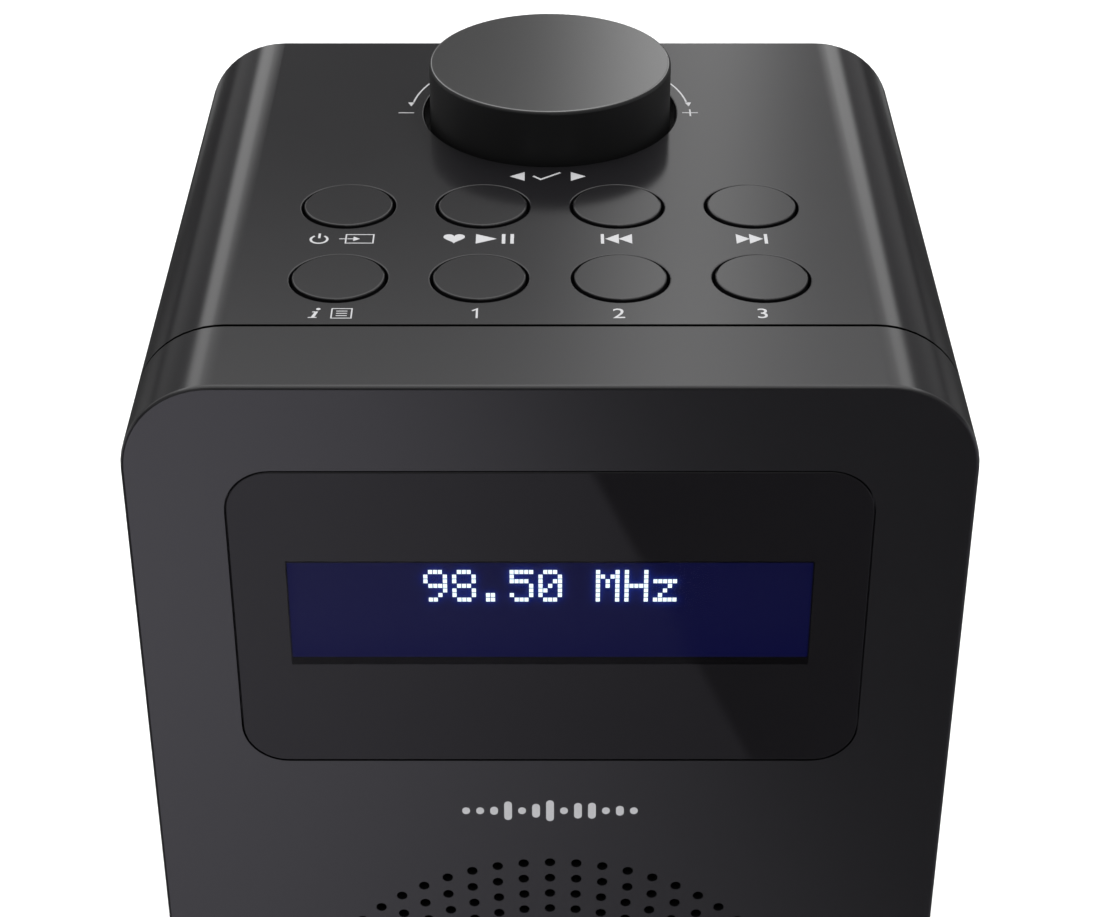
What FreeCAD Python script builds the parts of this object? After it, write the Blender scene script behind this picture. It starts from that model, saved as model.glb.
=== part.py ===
import FreeCAD, Part
import math
import os

from FreeCAD import Vector

# Tabletop radio. Millimetres. +X is the radio's right seen from the front, +Y goes to its back,
# +Z is up. The origin lies on the table, under the middle of the radio with its antenna folded.

# ---------------------------------------------------------------- cabinet
BODY_WIDTH = 102.0
BODY_DEPTH = 98.6
BODY_HEIGHT = 161.6
CORNER_RADIUS = 11.65
FRONT_EDGE_RADIUS = 0.5
WALL = 2.4
FRONT_WALL = 3.0
FRONT_LENGTH = 14.3          # front face to the seam
SEAM_GAP = 0.3
TONGUE_LENGTH = 4.0          # sleeve's lip inside the front housing
TONGUE_THICK = 1.2
TONGUE_CLEARANCE = 0.15
REAR_THICK = 2.4
REAR_INSET = 0.8             # rear cover's face below the sleeve's edge
REAR_GAP = 0.2
SEAM_EDGE = 0.15             # soft edges on both sides of the seam
RIM_EDGE = 0.2               # soft edges of the holes in the top
REAR_EDGE = 0.3              # sleeve's back edge

# ---------------------------------------------------------------- feet
FOOT_STAND = 2.4             # cabinet's height above the table
FOOT_RADIUS = 6.5
FOOT_SEAT_DEPTH = 0.8
FOOT_CLEARANCE = 0.15
FOOT_EDGE_RADIUS = 0.6
FOOT_INSET_X = 16.0
FOOT_INSET_Y = 23.0

# ---------------------------------------------------------------- screws
SCREW_RADIUS = 1.45
SCREW_HEAD_RADIUS = 2.8
SCREW_HEAD_HEIGHT = 1.8
SCREW_FIT = 0.03             # radial, screw in its pilot hole
SCREW_HOLE_CLEARANCE = 0.3   # radial, screw in a hole it passes through
SLOT_WIDTH = 0.8             # cross recess
SLOT_DEPTH = 0.9
BOSS_RADIUS = 3.4
BOSS_INSET = 9.5             # boss centre from the cabinet's outside
RIB_THICK = 2.0
FRONT_BOSS_REACH = 1.5       # past the seam
TAB_THICK = 2.5
TAB_SIZE = 15.0
FRONT_SCREW_GRIP = 9.0
REAR_BOSS_LENGTH = 14.0
REAR_SCREW_GRIP = 8.0
UPPER_REAR_DROP = 24.0       # upper rear screws below the top
COUNTERBORE_CLEARANCE = 0.4

# ---------------------------------------------------------------- display
WINDOW_WIDTH = 78.2
WINDOW_HEIGHT = 44.35
WINDOW_DROP = 11.7           # top of the window below the cabinet's top
WINDOW_CORNER = 5.75
LENS_THICK = 1.5
LENS_GAP = 0.2
MASK_THICK = 0.2
LCD_DROP = 33.9              # middle of the display below the cabinet's top
VIEW_WIDTH = 64.5
VIEW_HEIGHT = 15.6
GLASS_SETBACK = 1.2          # display glass behind the mask
GLASS_GAP = 0.3              # glass in its bezel
GLASS_THICK = 2.2
BACKLIGHT_THICK = 3.5
BEZEL_WIDTH = 71.2
BEZEL_HEIGHT = 25.2
BEZEL_SHEET = 0.5
BEZEL_SETBACK = 0.3
BEZEL_OPENING_CLEARANCE = 0.7
LCD_BOARD_WIDTH = 80.0
LCD_BOARD_HEIGHT = 36.0
LCD_HOLES_X = 75.0
LCD_HOLES_Z = 31.0
STACK_GAP = 0.1
POST_RADIUS = 2.6

# ---------------------------------------------------------------- boards
BOARD_THICK = 1.6
BOARD_SCREW_RADIUS = 0.95
BOARD_SCREW_HEAD_RADIUS = 1.9
BOARD_SCREW_HEAD_HEIGHT = 1.3
BOARD_SCREW_GRIP = 4.5
BOARD_HOLE_CLEARANCE = 0.25

# ---------------------------------------------------------------- push buttons
BUTTON_HOLE_RADIUS = 6.17
BUTTON_GAP = 0.37
BUTTON_PROUD = 0.3
BUTTON_EDGE_RADIUS = 0.2
BUTTON_FLANGE = 0.85         # wider than the hole
BUTTON_FLANGE_THICK = 1.0
BUTTON_STOP_GAP = 0.05
BUTTON_TRAVEL = 0.8
BUTTON_PITCH = 17.6
BACK_ROW_SETBACK = 45.6
FRONT_ROW_SETBACK = 26.1
STEM_RADIUS = 1.7
SWITCH_SIZE = 6.0
SWITCH_HEIGHT = 3.6
SWITCH_BORE_CLEARANCE = 0.15
SWITCH_BORE_DEPTH = 2.4
STEM_INSERT = 1.0

# ---------------------------------------------------------------- knob and encoder
KNOB_RADIUS = 16.85
KNOB_TOP = 7.6               # above the cabinet's top
KNOB_SETBACK = 75.0          # knob's axis behind the front face
KNOB_SKIRT = 3.0             # how far it reaches down into the well
KNOB_EDGE = 0.45
KNOB_WALL = 2.0
KNOB_CEILING = 2.2
KNOB_TRAVEL = 0.8
KNOB_GAP = 0.93              # knob's side to the well's wall
WELL_DEPTH = 5.2
WELL_WALL = 1.8
WELL_FLOOR = 2.0
ENCODER_SIZE = 12.0
ENCODER_HEIGHT = 6.5
BUSH_RADIUS = 3.5
BUSH_RISE = 2.4              # above the well's floor
BUSH_HOLE_CLEARANCE = 0.2
NUT_ACROSS_FLATS = 10.0
NUT_HEIGHT = 1.6
NUT_FIT = 0.05
SHAFT_RADIUS = 3.0
SHAFT_CLEARANCE = 0.05
HUB_RADIUS = 5.2
HUB_GAP = 0.4                # left under the hub when the knob is pressed
HUB_FIT = 0.02
PLUNGER_HEIGHT = 1.4
PLUNGER_GAP = 0.05
ENCODER_FLOOR = 0.8

# ---------------------------------------------------------------- control board
CONTROL_BOARD_WIDTH = 84.0
CONTROL_BOARD_MARGIN = 12.0  # knob's axis to its back edge
CONTROL_BOARD_LEAD = 6.3     # front button row to its front edge
CONTROL_POST_X = 38.0
CONTROL_POST_INSET = 3.1
CONTROL_POST_RADIUS = 2.6

# ---------------------------------------------------------------- loudspeaker
SPEAKER_RISE = 52.4          # axis above the cabinet's bottom
GRILLE_RADIUS = 35.9         # outer ring of holes
GRILLE_RING_STEP = 2.7
GRILLE_PITCH = 3.45
GRILLE_HOLE_RADIUS = 0.7
GRILLE_INNER = 3.0           # no ring is smaller than this
CLOTH_THICK = 0.3
CLOTH_GAP = 0.2
RING_HEIGHT = 3.5
RING_WIDTH = 3.0
RING_MARGIN = 1.7            # outer holes to the ring's inside
EAR_OUTSET = 2.4             # ear's centre outside the ring
EAR_RADIUS = 4.2
GASKET_THICK = 0.8
BASKET_SHEET = 1.2
BASKET_DEPTH = 20.0
BASKET_NECK = 24.0
BASKET_WINDOW_RADIUS = 7.0
SURROUND_LIP = 2.4
SURROUND_ROLL = 2.0
SURROUND_SHEET = 0.45
CONE_SHEET = 0.7
CONE_DEPTH = 12.0
COIL_RADIUS = 10.8
COIL_SHEET = 0.45
COIL_LENGTH = 12.5
CAP_SPHERE = 14.0
CAP_SHEET = 0.5
PLATE_THICK = 4.0
PLATE_RADIUS = 21.0
POLE_GAP = 0.6
MAGNET_RADIUS = 23.0
MAGNET_BORE = 14.0
MAGNET_THICK = 9.0
TERMINAL_SIZE = (3.4, 4.0, 10.0)
LEAD_RADIUS = 0.7
LEAD_SPACING = 4.0
LEAD_BEND = 5.0

# ---------------------------------------------------------------- main board
MAIN_BOARD_WIDTH = 72.0
MAIN_BOARD_LENGTH = 50.0
MAIN_STANDOFF = 5.2
MAIN_POST_INSET = 4.0
MAIN_POST_RADIUS = 3.0
MAIN_BOARD_GAP = 1.0         # board's back edge to the rear cover
RIBBON_WIDTH = 15.0
RIBBON_THICK = 0.5
RIBBON_BEND = 4.0
CONNECTOR_SIZE = (18.0, 5.0, 5.0)
CONNECTOR_GAP = 0.15
MODULE_SIZE = (24.0, 18.0, 3.6)
MODULE_MARGIN = (2.0, 6.5)   # from the board's left and front edges
CHIP_SIZE = (10.0, 10.0, 1.8)
CHIP_INSET = (22.0, 17.0)    # from the board's right and front edges
CAPACITOR_RADIUS = 4.0
CAPACITOR_HEIGHT = 11.5
CAPACITOR_PITCH = 9.6
CAPACITOR_COUNT = 4
CAPACITOR_FIRST_X = -3.0
CAPACITOR_GAP = 2.0          # row to the sockets

# ---------------------------------------------------------------- sockets
JACK_PANEL_WIDTH = 66.0
JACK_PANEL_HEIGHT = 19.0
JACK_PANEL_DEPTH = 0.8
JACK_PANEL_CORNER = 3.0
JACK_LENGTH = 14.0
JACK_HOLE_CLEARANCE = 0.2
DC_X = 22.0
DC_WIDTH = 9.0
DC_HEIGHT = 11.0
DC_AXIS = 6.5                # above the board
DC_BARREL_RADIUS = 4.1
DC_BORE_RADIUS = 2.85
DC_BORE_LENGTH = 9.5
DC_PIN_RADIUS = 1.05
DC_PIN_RECESS = 1.0
AUDIO_X = (-6.0, -20.0)
AUDIO_WIDTH = 7.0
AUDIO_HEIGHT = 7.0
AUDIO_AXIS = 4.2
AUDIO_BARREL_RADIUS = 3.3
AUDIO_BORE_RADIUS = 1.8
AUDIO_BORE_LENGTH = 14.0
PORT_X = 8.0
PORT_WIDTH = 7.6
PORT_HEIGHT = 2.9
PORT_LENGTH = 6.0
PORT_AXIS = 4.0
PORT_SHEET = 0.4
PORT_TONGUE = (5.0, 0.7)

# ---------------------------------------------------------------- antenna
ANTENNA_X = -36.0
ANTENNA_DROP = 9.5           # rod's axis below the cabinet's top
ROD_RADIUS = 3.5             # outermost section
ROD_SECTIONS = 4
ROD_SHEET = 0.45
ROD_CLEARANCE = 0.05
ROD_LENGTH = 64.0
ROD_STEP = 1.2               # how far each section stands out of the one outside it
ROD_INNER_GAP = 0.5
ROD_TRAVEL = 50.0
TIP_RADIUS = 3.2
TIP_LENGTH = 6.5
BASE_RADIUS = 6.0
BASE_FLANGE = 1.8
BASE_GAP = 0.3
PIVOT_RADIUS = 4.4
PIVOT_CLEARANCE = 0.05
PIVOT_END_PLAY = 0.2
PIN_STANDOFF = 4.0           # elbow pin's axis behind the base flange
PIN_RADIUS = 1.2
PIN_CLEARANCE = 0.05
PIN_HEAD = 0.4
EAR_THICK = 2.0
TONGUE_GAP = 0.1
ELBOW_TONGUE = 3.0
ELBOW_SHOULDER = 5.8
ELBOW_COLLAR = 3.2
ELBOW_PLUG = 3.0
WASHER_RADIUS = 6.4
WASHER_THICK = 0.8
REST_WIDTH = 4.0
REST_THICK = 1.6
REST_X = 33.0
REST_PEG_RADIUS = 1.4
REST_PAD_THICK = 1.2
REST_PAD_HEIGHT = 8.0
REST_GAP = 0.3
ANTENNA_LEAD_RADIUS = 0.8

# ---------------------------------------------------------------- places that follow from the sizes
ANTENNA_REACH = BASE_GAP + BASE_FLANGE + PIN_STANDOFF + ROD_RADIUS - REAR_INSET
FRONT_Y = -(BODY_DEPTH + ANTENNA_REACH) / 2
BACK_Y = FRONT_Y + BODY_DEPTH
MID_Y = (FRONT_Y + BACK_Y) / 2
BASE_Z = FOOT_STAND
TOP_Z = BASE_Z + BODY_HEIGHT
MID_Z = (BASE_Z + TOP_Z) / 2
CEILING_Z = TOP_Z - WALL
FLOOR_Z = BASE_Z + WALL
INSIDE_X = BODY_WIDTH / 2 - WALL
FRONT_INSIDE_Y = FRONT_Y + FRONT_WALL
FRONT_END_Y = FRONT_Y + FRONT_LENGTH - SEAM_GAP / 2
SLEEVE_START_Y = FRONT_Y + FRONT_LENGTH + SEAM_GAP / 2
REAR_FACE_Y = BACK_Y - REAR_INSET
REAR_INSIDE_Y = REAR_FACE_Y - REAR_THICK
BOSS_X = BODY_WIDTH / 2 - BOSS_INSET
LOW_BOSS_Z = BASE_Z + BOSS_INSET
HIGH_BOSS_Z = TOP_Z - BOSS_INSET
FRONT_BOSS_END_Y = SLEEVE_START_Y + FRONT_BOSS_REACH
TAB_END_Y = FRONT_BOSS_END_Y + TAB_THICK
REAR_SCREW_Z = (LOW_BOSS_Z, TOP_Z - UPPER_REAR_DROP)

WINDOW_Z = TOP_Z - WINDOW_DROP - WINDOW_HEIGHT / 2
LCD_Z = TOP_Z - LCD_DROP
GLASS_WIDTH = BEZEL_WIDTH - 2 * (BEZEL_SHEET + GLASS_GAP)
GLASS_HEIGHT = BEZEL_HEIGHT - 2 * (BEZEL_SHEET + GLASS_GAP)
MASK_Y = FRONT_Y + LENS_THICK
MASK_BACK_Y = MASK_Y + MASK_THICK
BEZEL_Y = MASK_BACK_Y + BEZEL_SETBACK
GLASS_Y = MASK_BACK_Y + GLASS_SETBACK
BACKLIGHT_Y = GLASS_Y + GLASS_THICK
LCD_BOARD_Y = BACKLIGHT_Y + BACKLIGHT_THICK + STACK_GAP
LCD_BOARD_BACK_Y = LCD_BOARD_Y + BOARD_THICK

KNOB_Y = FRONT_Y + KNOB_SETBACK
WELL_RADIUS = KNOB_RADIUS + KNOB_GAP
WELL_FLOOR_Z = TOP_Z - WELL_DEPTH
WELL_UNDER_Z = WELL_FLOOR_Z - WELL_FLOOR
CONTROL_TOP_Z = WELL_UNDER_Z - ENCODER_HEIGHT
CONTROL_UNDER_Z = CONTROL_TOP_Z - BOARD_THICK
BUTTON_RADIUS = BUTTON_HOLE_RADIUS - BUTTON_GAP
FRONT_ROW_Y = FRONT_Y + FRONT_ROW_SETBACK
BACK_ROW_Y = FRONT_Y + BACK_ROW_SETBACK
CONTROL_FRONT_Y = FRONT_ROW_Y - CONTROL_BOARD_LEAD
CONTROL_BACK_Y = KNOB_Y + CONTROL_BOARD_MARGIN

SPEAKER_Z = BASE_Z + SPEAKER_RISE
RING_INNER = GRILLE_RADIUS + RING_MARGIN
RING_OUTER = RING_INNER + RING_WIDTH
GASKET_Y = FRONT_INSIDE_Y + RING_HEIGHT
BASKET_Y = GASKET_Y + GASKET_THICK
EAR_CENTRE = RING_OUTER + EAR_OUTSET
ROLL_OUTER = RING_INNER - SURROUND_LIP - CLOTH_GAP
ROLL_MIDDLE = ROLL_OUTER - SURROUND_ROLL
CONE_RADIUS = ROLL_MIDDLE - SURROUND_ROLL
PLATE_Y = BASKET_Y + BASKET_DEPTH + BASKET_SHEET
MAGNET_Y = PLATE_Y + PLATE_THICK
YOKE_Y = MAGNET_Y + MAGNET_THICK
YOKE_END_Y = YOKE_Y + PLATE_THICK

MAIN_TOP_Z = FLOOR_Z + MAIN_STANDOFF + BOARD_THICK
MAIN_BACK_Y = REAR_INSIDE_Y - MAIN_BOARD_GAP
MAIN_FRONT_Y = MAIN_BACK_Y - MAIN_BOARD_LENGTH
JACK_FACE_Y = REAR_INSIDE_Y - JACK_HOLE_CLEARANCE
PANEL_FLOOR_Y = REAR_FACE_Y - JACK_PANEL_DEPTH
AUDIO_Z = MAIN_TOP_Z + AUDIO_AXIS
DC_Z = MAIN_TOP_Z + DC_AXIS
PORT_Z = MAIN_TOP_Z + PORT_AXIS
PANEL_Z = MAIN_TOP_Z + DC_AXIS - 1.0

ANTENNA_Z = TOP_Z - ANTENNA_DROP
BASE_Y = REAR_FACE_Y + BASE_GAP
BASE_FACE_Y = BASE_Y + BASE_FLANGE
PIN_Y = BASE_FACE_Y + PIN_STANDOFF
ROD_START_X = ANTENNA_X + ELBOW_SHOULDER + ELBOW_COLLAR
ROD_RADII = [ROD_RADIUS - index * (ROD_SHEET + ROD_CLEARANCE) for index in range(ROD_SECTIONS)]
RETAINER_Y = REAR_INSIDE_Y - PIVOT_END_PLAY

BUTTON_NAMES = {
    "button_power": (-1.5, BACK_ROW_Y),
    "button_favourite": (-0.5, BACK_ROW_Y),
    "button_previous": (0.5, BACK_ROW_Y),
    "button_next": (1.5, BACK_ROW_Y),
    "button_menu": (-1.5, FRONT_ROW_Y),
    "button_preset_1": (-0.5, FRONT_ROW_Y),
    "button_preset_2": (0.5, FRONT_ROW_Y),
    "button_preset_3": (1.5, FRONT_ROW_Y),
}


# ---------------------------------------------------------------- shapes used again and again
def box(x_span, y_span, z_span):
    """A box between three (low, high) pairs."""
    sizes = [high - low for low, high in (x_span, y_span, z_span)]
    return Part.makeBox(*sizes, Vector(x_span[0], y_span[0], z_span[0]))


def around(middle, size):
    """The (low, high) pair of a length centred on a place."""
    return (middle - size / 2, middle + size / 2)


def rod_x(radius, y, z, x_span):
    """A cylinder along X."""
    return Part.makeCylinder(radius, x_span[1] - x_span[0], Vector(x_span[0], y, z), Vector(1, 0, 0))


def rod_y(radius, x, z, y_span):
    """A cylinder along Y."""
    return Part.makeCylinder(radius, y_span[1] - y_span[0], Vector(x, y_span[0], z), Vector(0, 1, 0))


def rod_z(radius, x, y, z_span):
    """A cylinder along Z."""
    return Part.makeCylinder(radius, z_span[1] - z_span[0], Vector(x, y, z_span[0]), Vector(0, 0, 1))


def slab(width, height, corner, y_span, z_mid):
    """A plate facing Y with four round corners."""
    block = box(around(0, width), y_span, around(z_mid, height))
    along_y = [edge for edge in block.Edges if abs(edge.tangentAt(edge.FirstParameter).y) > 0.99]
    return block.makeFillet(corner, along_y)


def outline(inset, y_span):
    """The cabinet's rounded section, drawn in by an inset, along Y."""
    width = BODY_WIDTH - 2 * inset
    height = BODY_HEIGHT - 2 * inset
    return slab(width, height, CORNER_RADIUS - inset, y_span, MID_Z)


def turned_y(profile, x, z):
    """A profile of (radius, y) points turned about the line along Y through x, z."""
    points = [Vector(x + radius, y, z) for radius, y in profile]
    face = Part.Face(Part.makePolygon(points + points[:1]))
    return face.revolve(Vector(x, 0, z), Vector(0, 1, 0), 360)


def ring_y(outer, inner, x, z, y_span):
    """A flat ring facing Y."""
    return rod_y(outer, x, z, y_span).cut(rod_y(inner, x, z, y_span))


def joined(first, others):
    """One solid from solids that touch or overlap."""
    return first.fuse(list(others)).removeSplitter()


def round_edges(shape, radius, test):
    """Fillet the edges that pass a test."""
    return shape.makeFillet(radius, [edge for edge in shape.Edges if test(edge)])


def in_plane(axis, place):
    """A test for edges lying in one plane across an axis."""
    def test(edge):
        bounds = edge.BoundBox
        low = getattr(bounds, axis + "Min")
        high = getattr(bounds, axis + "Max")
        return abs(low - place) < 1e-4 and abs(high - place) < 1e-4
    return test


def bent_path(points, bend):
    """Straight runs joined by tangent arcs, as one wire."""
    points = [Vector(*point) for point in points]
    edges = []
    start = points[0]
    for before, corner, after in zip(points, points[1:], points[2:]):
        inward = (before - corner).normalize()
        outward = (after - corner).normalize()
        half = (math.pi - inward.getAngle(outward)) / 2
        room = 0.45 * min((before - corner).Length, (after - corner).Length)
        radius = min(bend, room / math.tan(half))
        reach = radius * math.tan(half)
        middle = (inward + outward).normalize()
        centre_distance = radius / math.cos(half)
        arc_start = corner + inward * reach
        arc_end = corner + outward * reach
        arc_middle = corner + middle * (centre_distance - radius)
        edges.append(Part.LineSegment(start, arc_start).toShape())
        edges.append(Part.Arc(arc_start, arc_middle, arc_end).toShape())
        start = arc_end
    edges.append(Part.LineSegment(start, points[-1]).toShape())
    return Part.Wire(edges)


def tube(points, radius, bend):
    """A round wire along straight runs and arcs."""
    path = bent_path(points, bend)
    direction = Vector(*points[1]) - Vector(*points[0])
    section = Part.Wire(Part.makeCircle(radius, Vector(*points[0]), direction))
    return path.makePipeShell([section], True, False)


def ribbon(x_mid, points, bend):
    """A flat cable of the ribbon's width along (y, z) points."""
    places = [(x_mid, y, z) for y, z in points]
    path = bent_path(places, bend)
    run = (Vector(*places[1]) - Vector(*places[0])).normalize()
    across = Vector(1, 0, 0) * (RIBBON_WIDTH / 2)
    through = Vector(1, 0, 0).cross(run) * (RIBBON_THICK / 2)
    start = Vector(*places[0])
    corners = [start + across + through, start - across + through,
               start - across - through, start + across - through]
    section = Part.makePolygon(corners + corners[:1])
    return path.makePipeShell([section], True, False)


def screw(radius, head_radius, head_height, length, place, direction):
    """A pan-head screw whose head's underside is at a place; its shank runs along a direction."""
    shank = Part.makeCylinder(radius, length, place, direction)
    head = Part.makeCylinder(head_radius, head_height, place, direction * -1)
    top = place - direction * head_height
    rim = [edge for edge in head.Edges if abs((edge.CenterOfMass - top).dot(direction)) < 1e-4]
    head = head.makeFillet(head_height * 0.35, rim)
    body = shank.fuse(head).removeSplitter()
    side = direction.cross(Vector(0.0, 0.6, 0.8)).normalize()
    up = direction.cross(side)
    for long_way, short_way in ((side, up), (up, side)):
        bar = Part.makeBox(head_radius * 1.1, SLOT_WIDTH, SLOT_DEPTH)
        bar.translate(Vector(-head_radius * 0.55, -SLOT_WIDTH / 2, 0))
        turn = FreeCAD.Placement(top, FreeCAD.Rotation(long_way, short_way, direction, "ZXY"))
        bar.Placement = turn.multiply(bar.Placement)
        body = body.cut(bar)
    return body


def corners(half_x, zs):
    """The four (x, z) places of a rectangle of screws."""
    return [(side * half_x, z) for side in (-1, 1) for z in zs]


# ---------------------------------------------------------------- cabinet
def speaker_ears():
    """The (x, z) places of the loudspeaker's four screws."""
    reach = EAR_CENTRE * math.sqrt(0.5)
    return [(x * reach, SPEAKER_Z + z * reach) for x in (-1, 1) for z in (-1, 1)]


def grille_holes():
    """Rings of small holes in front of the cone, each ring starting straight up."""
    holes = []
    radius = GRILLE_RADIUS
    while radius > GRILLE_INNER:
        count = round(2 * math.pi * radius / GRILLE_PITCH)
        for index in range(count):
            angle = 2 * math.pi * index / count
            x = radius * math.sin(angle)
            z = SPEAKER_Z + radius * math.cos(angle)
            holes.append(rod_y(GRILLE_HOLE_RADIUS, x, z, (FRONT_Y - 1, FRONT_INSIDE_Y + 1)))
        radius -= GRILLE_RING_STEP
    holes.append(rod_y(GRILLE_HOLE_RADIUS, 0, SPEAKER_Z, (FRONT_Y - 1, FRONT_INSIDE_Y + 1)))
    return Part.makeCompound(holes)


def front_housing():
    """The front moulding: face, window seat, speaker holes, posts and bosses."""
    shell = outline(0, (FRONT_Y, FRONT_END_Y))
    shell = round_edges(shell, FRONT_EDGE_RADIUS, in_plane("Y", FRONT_Y))
    shell = round_edges(shell, SEAM_EDGE, in_plane("Y", FRONT_END_Y))
    shell = shell.cut(outline(WALL, (FRONT_INSIDE_Y, FRONT_END_Y + 1)))
    added = []
    for x, z in corners(BOSS_X, (LOW_BOSS_Z, HIGH_BOSS_Z)):
        added.append(rod_y(BOSS_RADIUS, x, z, (FRONT_INSIDE_Y, FRONT_BOSS_END_Y)))
    for x, z in corners(LCD_HOLES_X / 2, around(LCD_Z, LCD_HOLES_Z)):
        added.append(rod_y(POST_RADIUS, x, z, (FRONT_INSIDE_Y, LCD_BOARD_Y)))
    added.append(ring_y(RING_OUTER, RING_INNER, 0, SPEAKER_Z, (FRONT_INSIDE_Y, GASKET_Y)))
    for x, z in speaker_ears():
        ear = rod_y(EAR_RADIUS, x, z, (FRONT_INSIDE_Y, BASKET_Y))
        added.append(ear.cut(rod_y(RING_OUTER - RING_WIDTH / 2, 0, SPEAKER_Z, (FRONT_Y, BASKET_Y + 1))))
        added[-1] = added[-1].cut(rod_y(RING_OUTER + CLOTH_GAP, 0, SPEAKER_Z, (GASKET_Y, BASKET_Y + 1)))
    shell = joined(shell, added)
    window = slab(WINDOW_WIDTH, WINDOW_HEIGHT, WINDOW_CORNER, (FRONT_Y - 1, MASK_BACK_Y), WINDOW_Z)
    opening_width = BEZEL_WIDTH + 2 * BEZEL_OPENING_CLEARANCE
    opening_height = BEZEL_HEIGHT + 2 * BEZEL_OPENING_CLEARANCE
    opening = box(around(0, opening_width), (FRONT_Y, LCD_BOARD_Y + 1), around(LCD_Z, opening_height))
    shell = shell.cut(Part.makeCompound([window])).cut(opening)
    pilots = []
    for x, z in corners(BOSS_X, (LOW_BOSS_Z, HIGH_BOSS_Z)):
        start = FRONT_BOSS_END_Y - FRONT_SCREW_GRIP - 1
        pilots.append(rod_y(SCREW_RADIUS + SCREW_FIT, x, z, (start, FRONT_BOSS_END_Y + 1)))
    for x, z in corners(LCD_HOLES_X / 2, around(LCD_Z, LCD_HOLES_Z)):
        start = LCD_BOARD_Y - BOARD_SCREW_GRIP - 0.5
        pilots.append(rod_y(BOARD_SCREW_RADIUS + SCREW_FIT, x, z, (start, LCD_BOARD_Y + 1)))
    for x, z in speaker_ears():
        start = BASKET_Y - BOARD_SCREW_GRIP - 0.5
        pilots.append(rod_y(BOARD_SCREW_RADIUS + SCREW_FIT, x, z, (start, BASKET_Y + 1)))
    shell = shell.cut(Part.makeCompound(pilots))
    return shell.cut(grille_holes())


def cabinet_sleeve():
    """The main tube: top with button holes and knob well, sides and bottom."""
    shell = outline(0, (SLEEVE_START_Y, BACK_Y))
    shell = round_edges(shell, SEAM_EDGE, in_plane("Y", SLEEVE_START_Y))
    shell = round_edges(shell, REAR_EDGE, in_plane("Y", BACK_Y))
    shell = shell.cut(outline(WALL, (SLEEVE_START_Y - 1, BACK_Y + 1)))
    tongue_back = SLEEVE_START_Y + TAB_THICK
    added = []
    root = outline(WALL, (SLEEVE_START_Y, tongue_back))
    inner = outline(WALL + TONGUE_CLEARANCE + TONGUE_THICK, (SLEEVE_START_Y - TONGUE_LENGTH, tongue_back))
    lip = outline(WALL + TONGUE_CLEARANCE, (SLEEVE_START_Y - TONGUE_LENGTH, tongue_back))
    added.append(root.fuse(lip).cut(inner).removeSplitter())
    corner_fill = outline(WALL, (FRONT_BOSS_END_Y, TAB_END_Y))
    edge_x = INSIDE_X - TAB_SIZE
    for x_span in ((-INSIDE_X, -edge_x), (edge_x, INSIDE_X)):
        for z_span in ((FLOOR_Z, FLOOR_Z + TAB_SIZE), (CEILING_Z - TAB_SIZE, CEILING_Z)):
            added.append(corner_fill.common(box(x_span, (FRONT_BOSS_END_Y, TAB_END_Y), z_span)))
    boss_span = (REAR_INSIDE_Y - REAR_BOSS_LENGTH, REAR_INSIDE_Y)
    for x, z in corners(BOSS_X, REAR_SCREW_Z):
        side = math.copysign(1, x)
        rib_x = sorted((x, side * (INSIDE_X + WALL / 2)))
        added.append(rod_y(BOSS_RADIUS, x, z, boss_span))
        added.append(box(rib_x, boss_span, around(z, RIB_THICK)))
    added.append(rod_z(WELL_RADIUS + WELL_WALL, 0, KNOB_Y, (WELL_UNDER_Z, TOP_Z - WALL / 2)))
    for x, y in control_posts():
        added.append(rod_z(CONTROL_POST_RADIUS, x, y, (CONTROL_TOP_Z, TOP_Z - WALL / 2)))
    for x, y in main_posts():
        added.append(rod_z(MAIN_POST_RADIUS, x, y, (BASE_Z + WALL / 2, FLOOR_Z + MAIN_STANDOFF)))
    shell = joined(shell, added)
    cuts = []
    for column, y in BUTTON_NAMES.values():
        cuts.append(rod_z(BUTTON_HOLE_RADIUS, column * BUTTON_PITCH, y, (CEILING_Z - 1, TOP_Z + 1)))
    cuts.append(rod_z(WELL_RADIUS, 0, KNOB_Y, (WELL_FLOOR_Z, TOP_Z + 1)))
    cuts.append(rod_z(BUSH_RADIUS + BUSH_HOLE_CLEARANCE, 0, KNOB_Y, (WELL_UNDER_Z - 1, WELL_FLOOR_Z + 1)))
    for x, z in corners(BOSS_X, (LOW_BOSS_Z, HIGH_BOSS_Z)):
        hole = SCREW_RADIUS + SCREW_HOLE_CLEARANCE
        cuts.append(rod_y(hole, x, z, (FRONT_BOSS_END_Y - 1, TAB_END_Y + 1)))
    for x, z in corners(BOSS_X, REAR_SCREW_Z):
        start = REAR_INSIDE_Y - REAR_SCREW_GRIP - 1
        cuts.append(rod_y(SCREW_RADIUS + SCREW_FIT, x, z, (start, REAR_INSIDE_Y + 1)))
    pilot = BOARD_SCREW_RADIUS + SCREW_FIT
    for x, y in control_posts():
        cuts.append(rod_z(pilot, x, y, (CONTROL_TOP_Z - 1, CONTROL_TOP_Z + BOARD_SCREW_GRIP + 0.5)))
    for x, y in main_posts():
        top = FLOOR_Z + MAIN_STANDOFF
        cuts.append(rod_z(pilot, x, y, (top - BOARD_SCREW_GRIP - 0.5, top + 1)))
    for x, y in foot_places():
        seat = FOOT_RADIUS + FOOT_CLEARANCE
        cuts.append(rod_z(seat, x, y, (BASE_Z - 1, BASE_Z + FOOT_SEAT_DEPTH)))
    shell = shell.cut(Part.makeCompound(cuts))
    return round_edges(shell, RIM_EDGE, is_top_rim)


def is_top_rim(edge):
    """Whether an edge is the rim of a hole in the flat top."""
    return in_plane("Z", TOP_Z)(edge) and isinstance(edge.Curve, Part.Circle)


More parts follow.
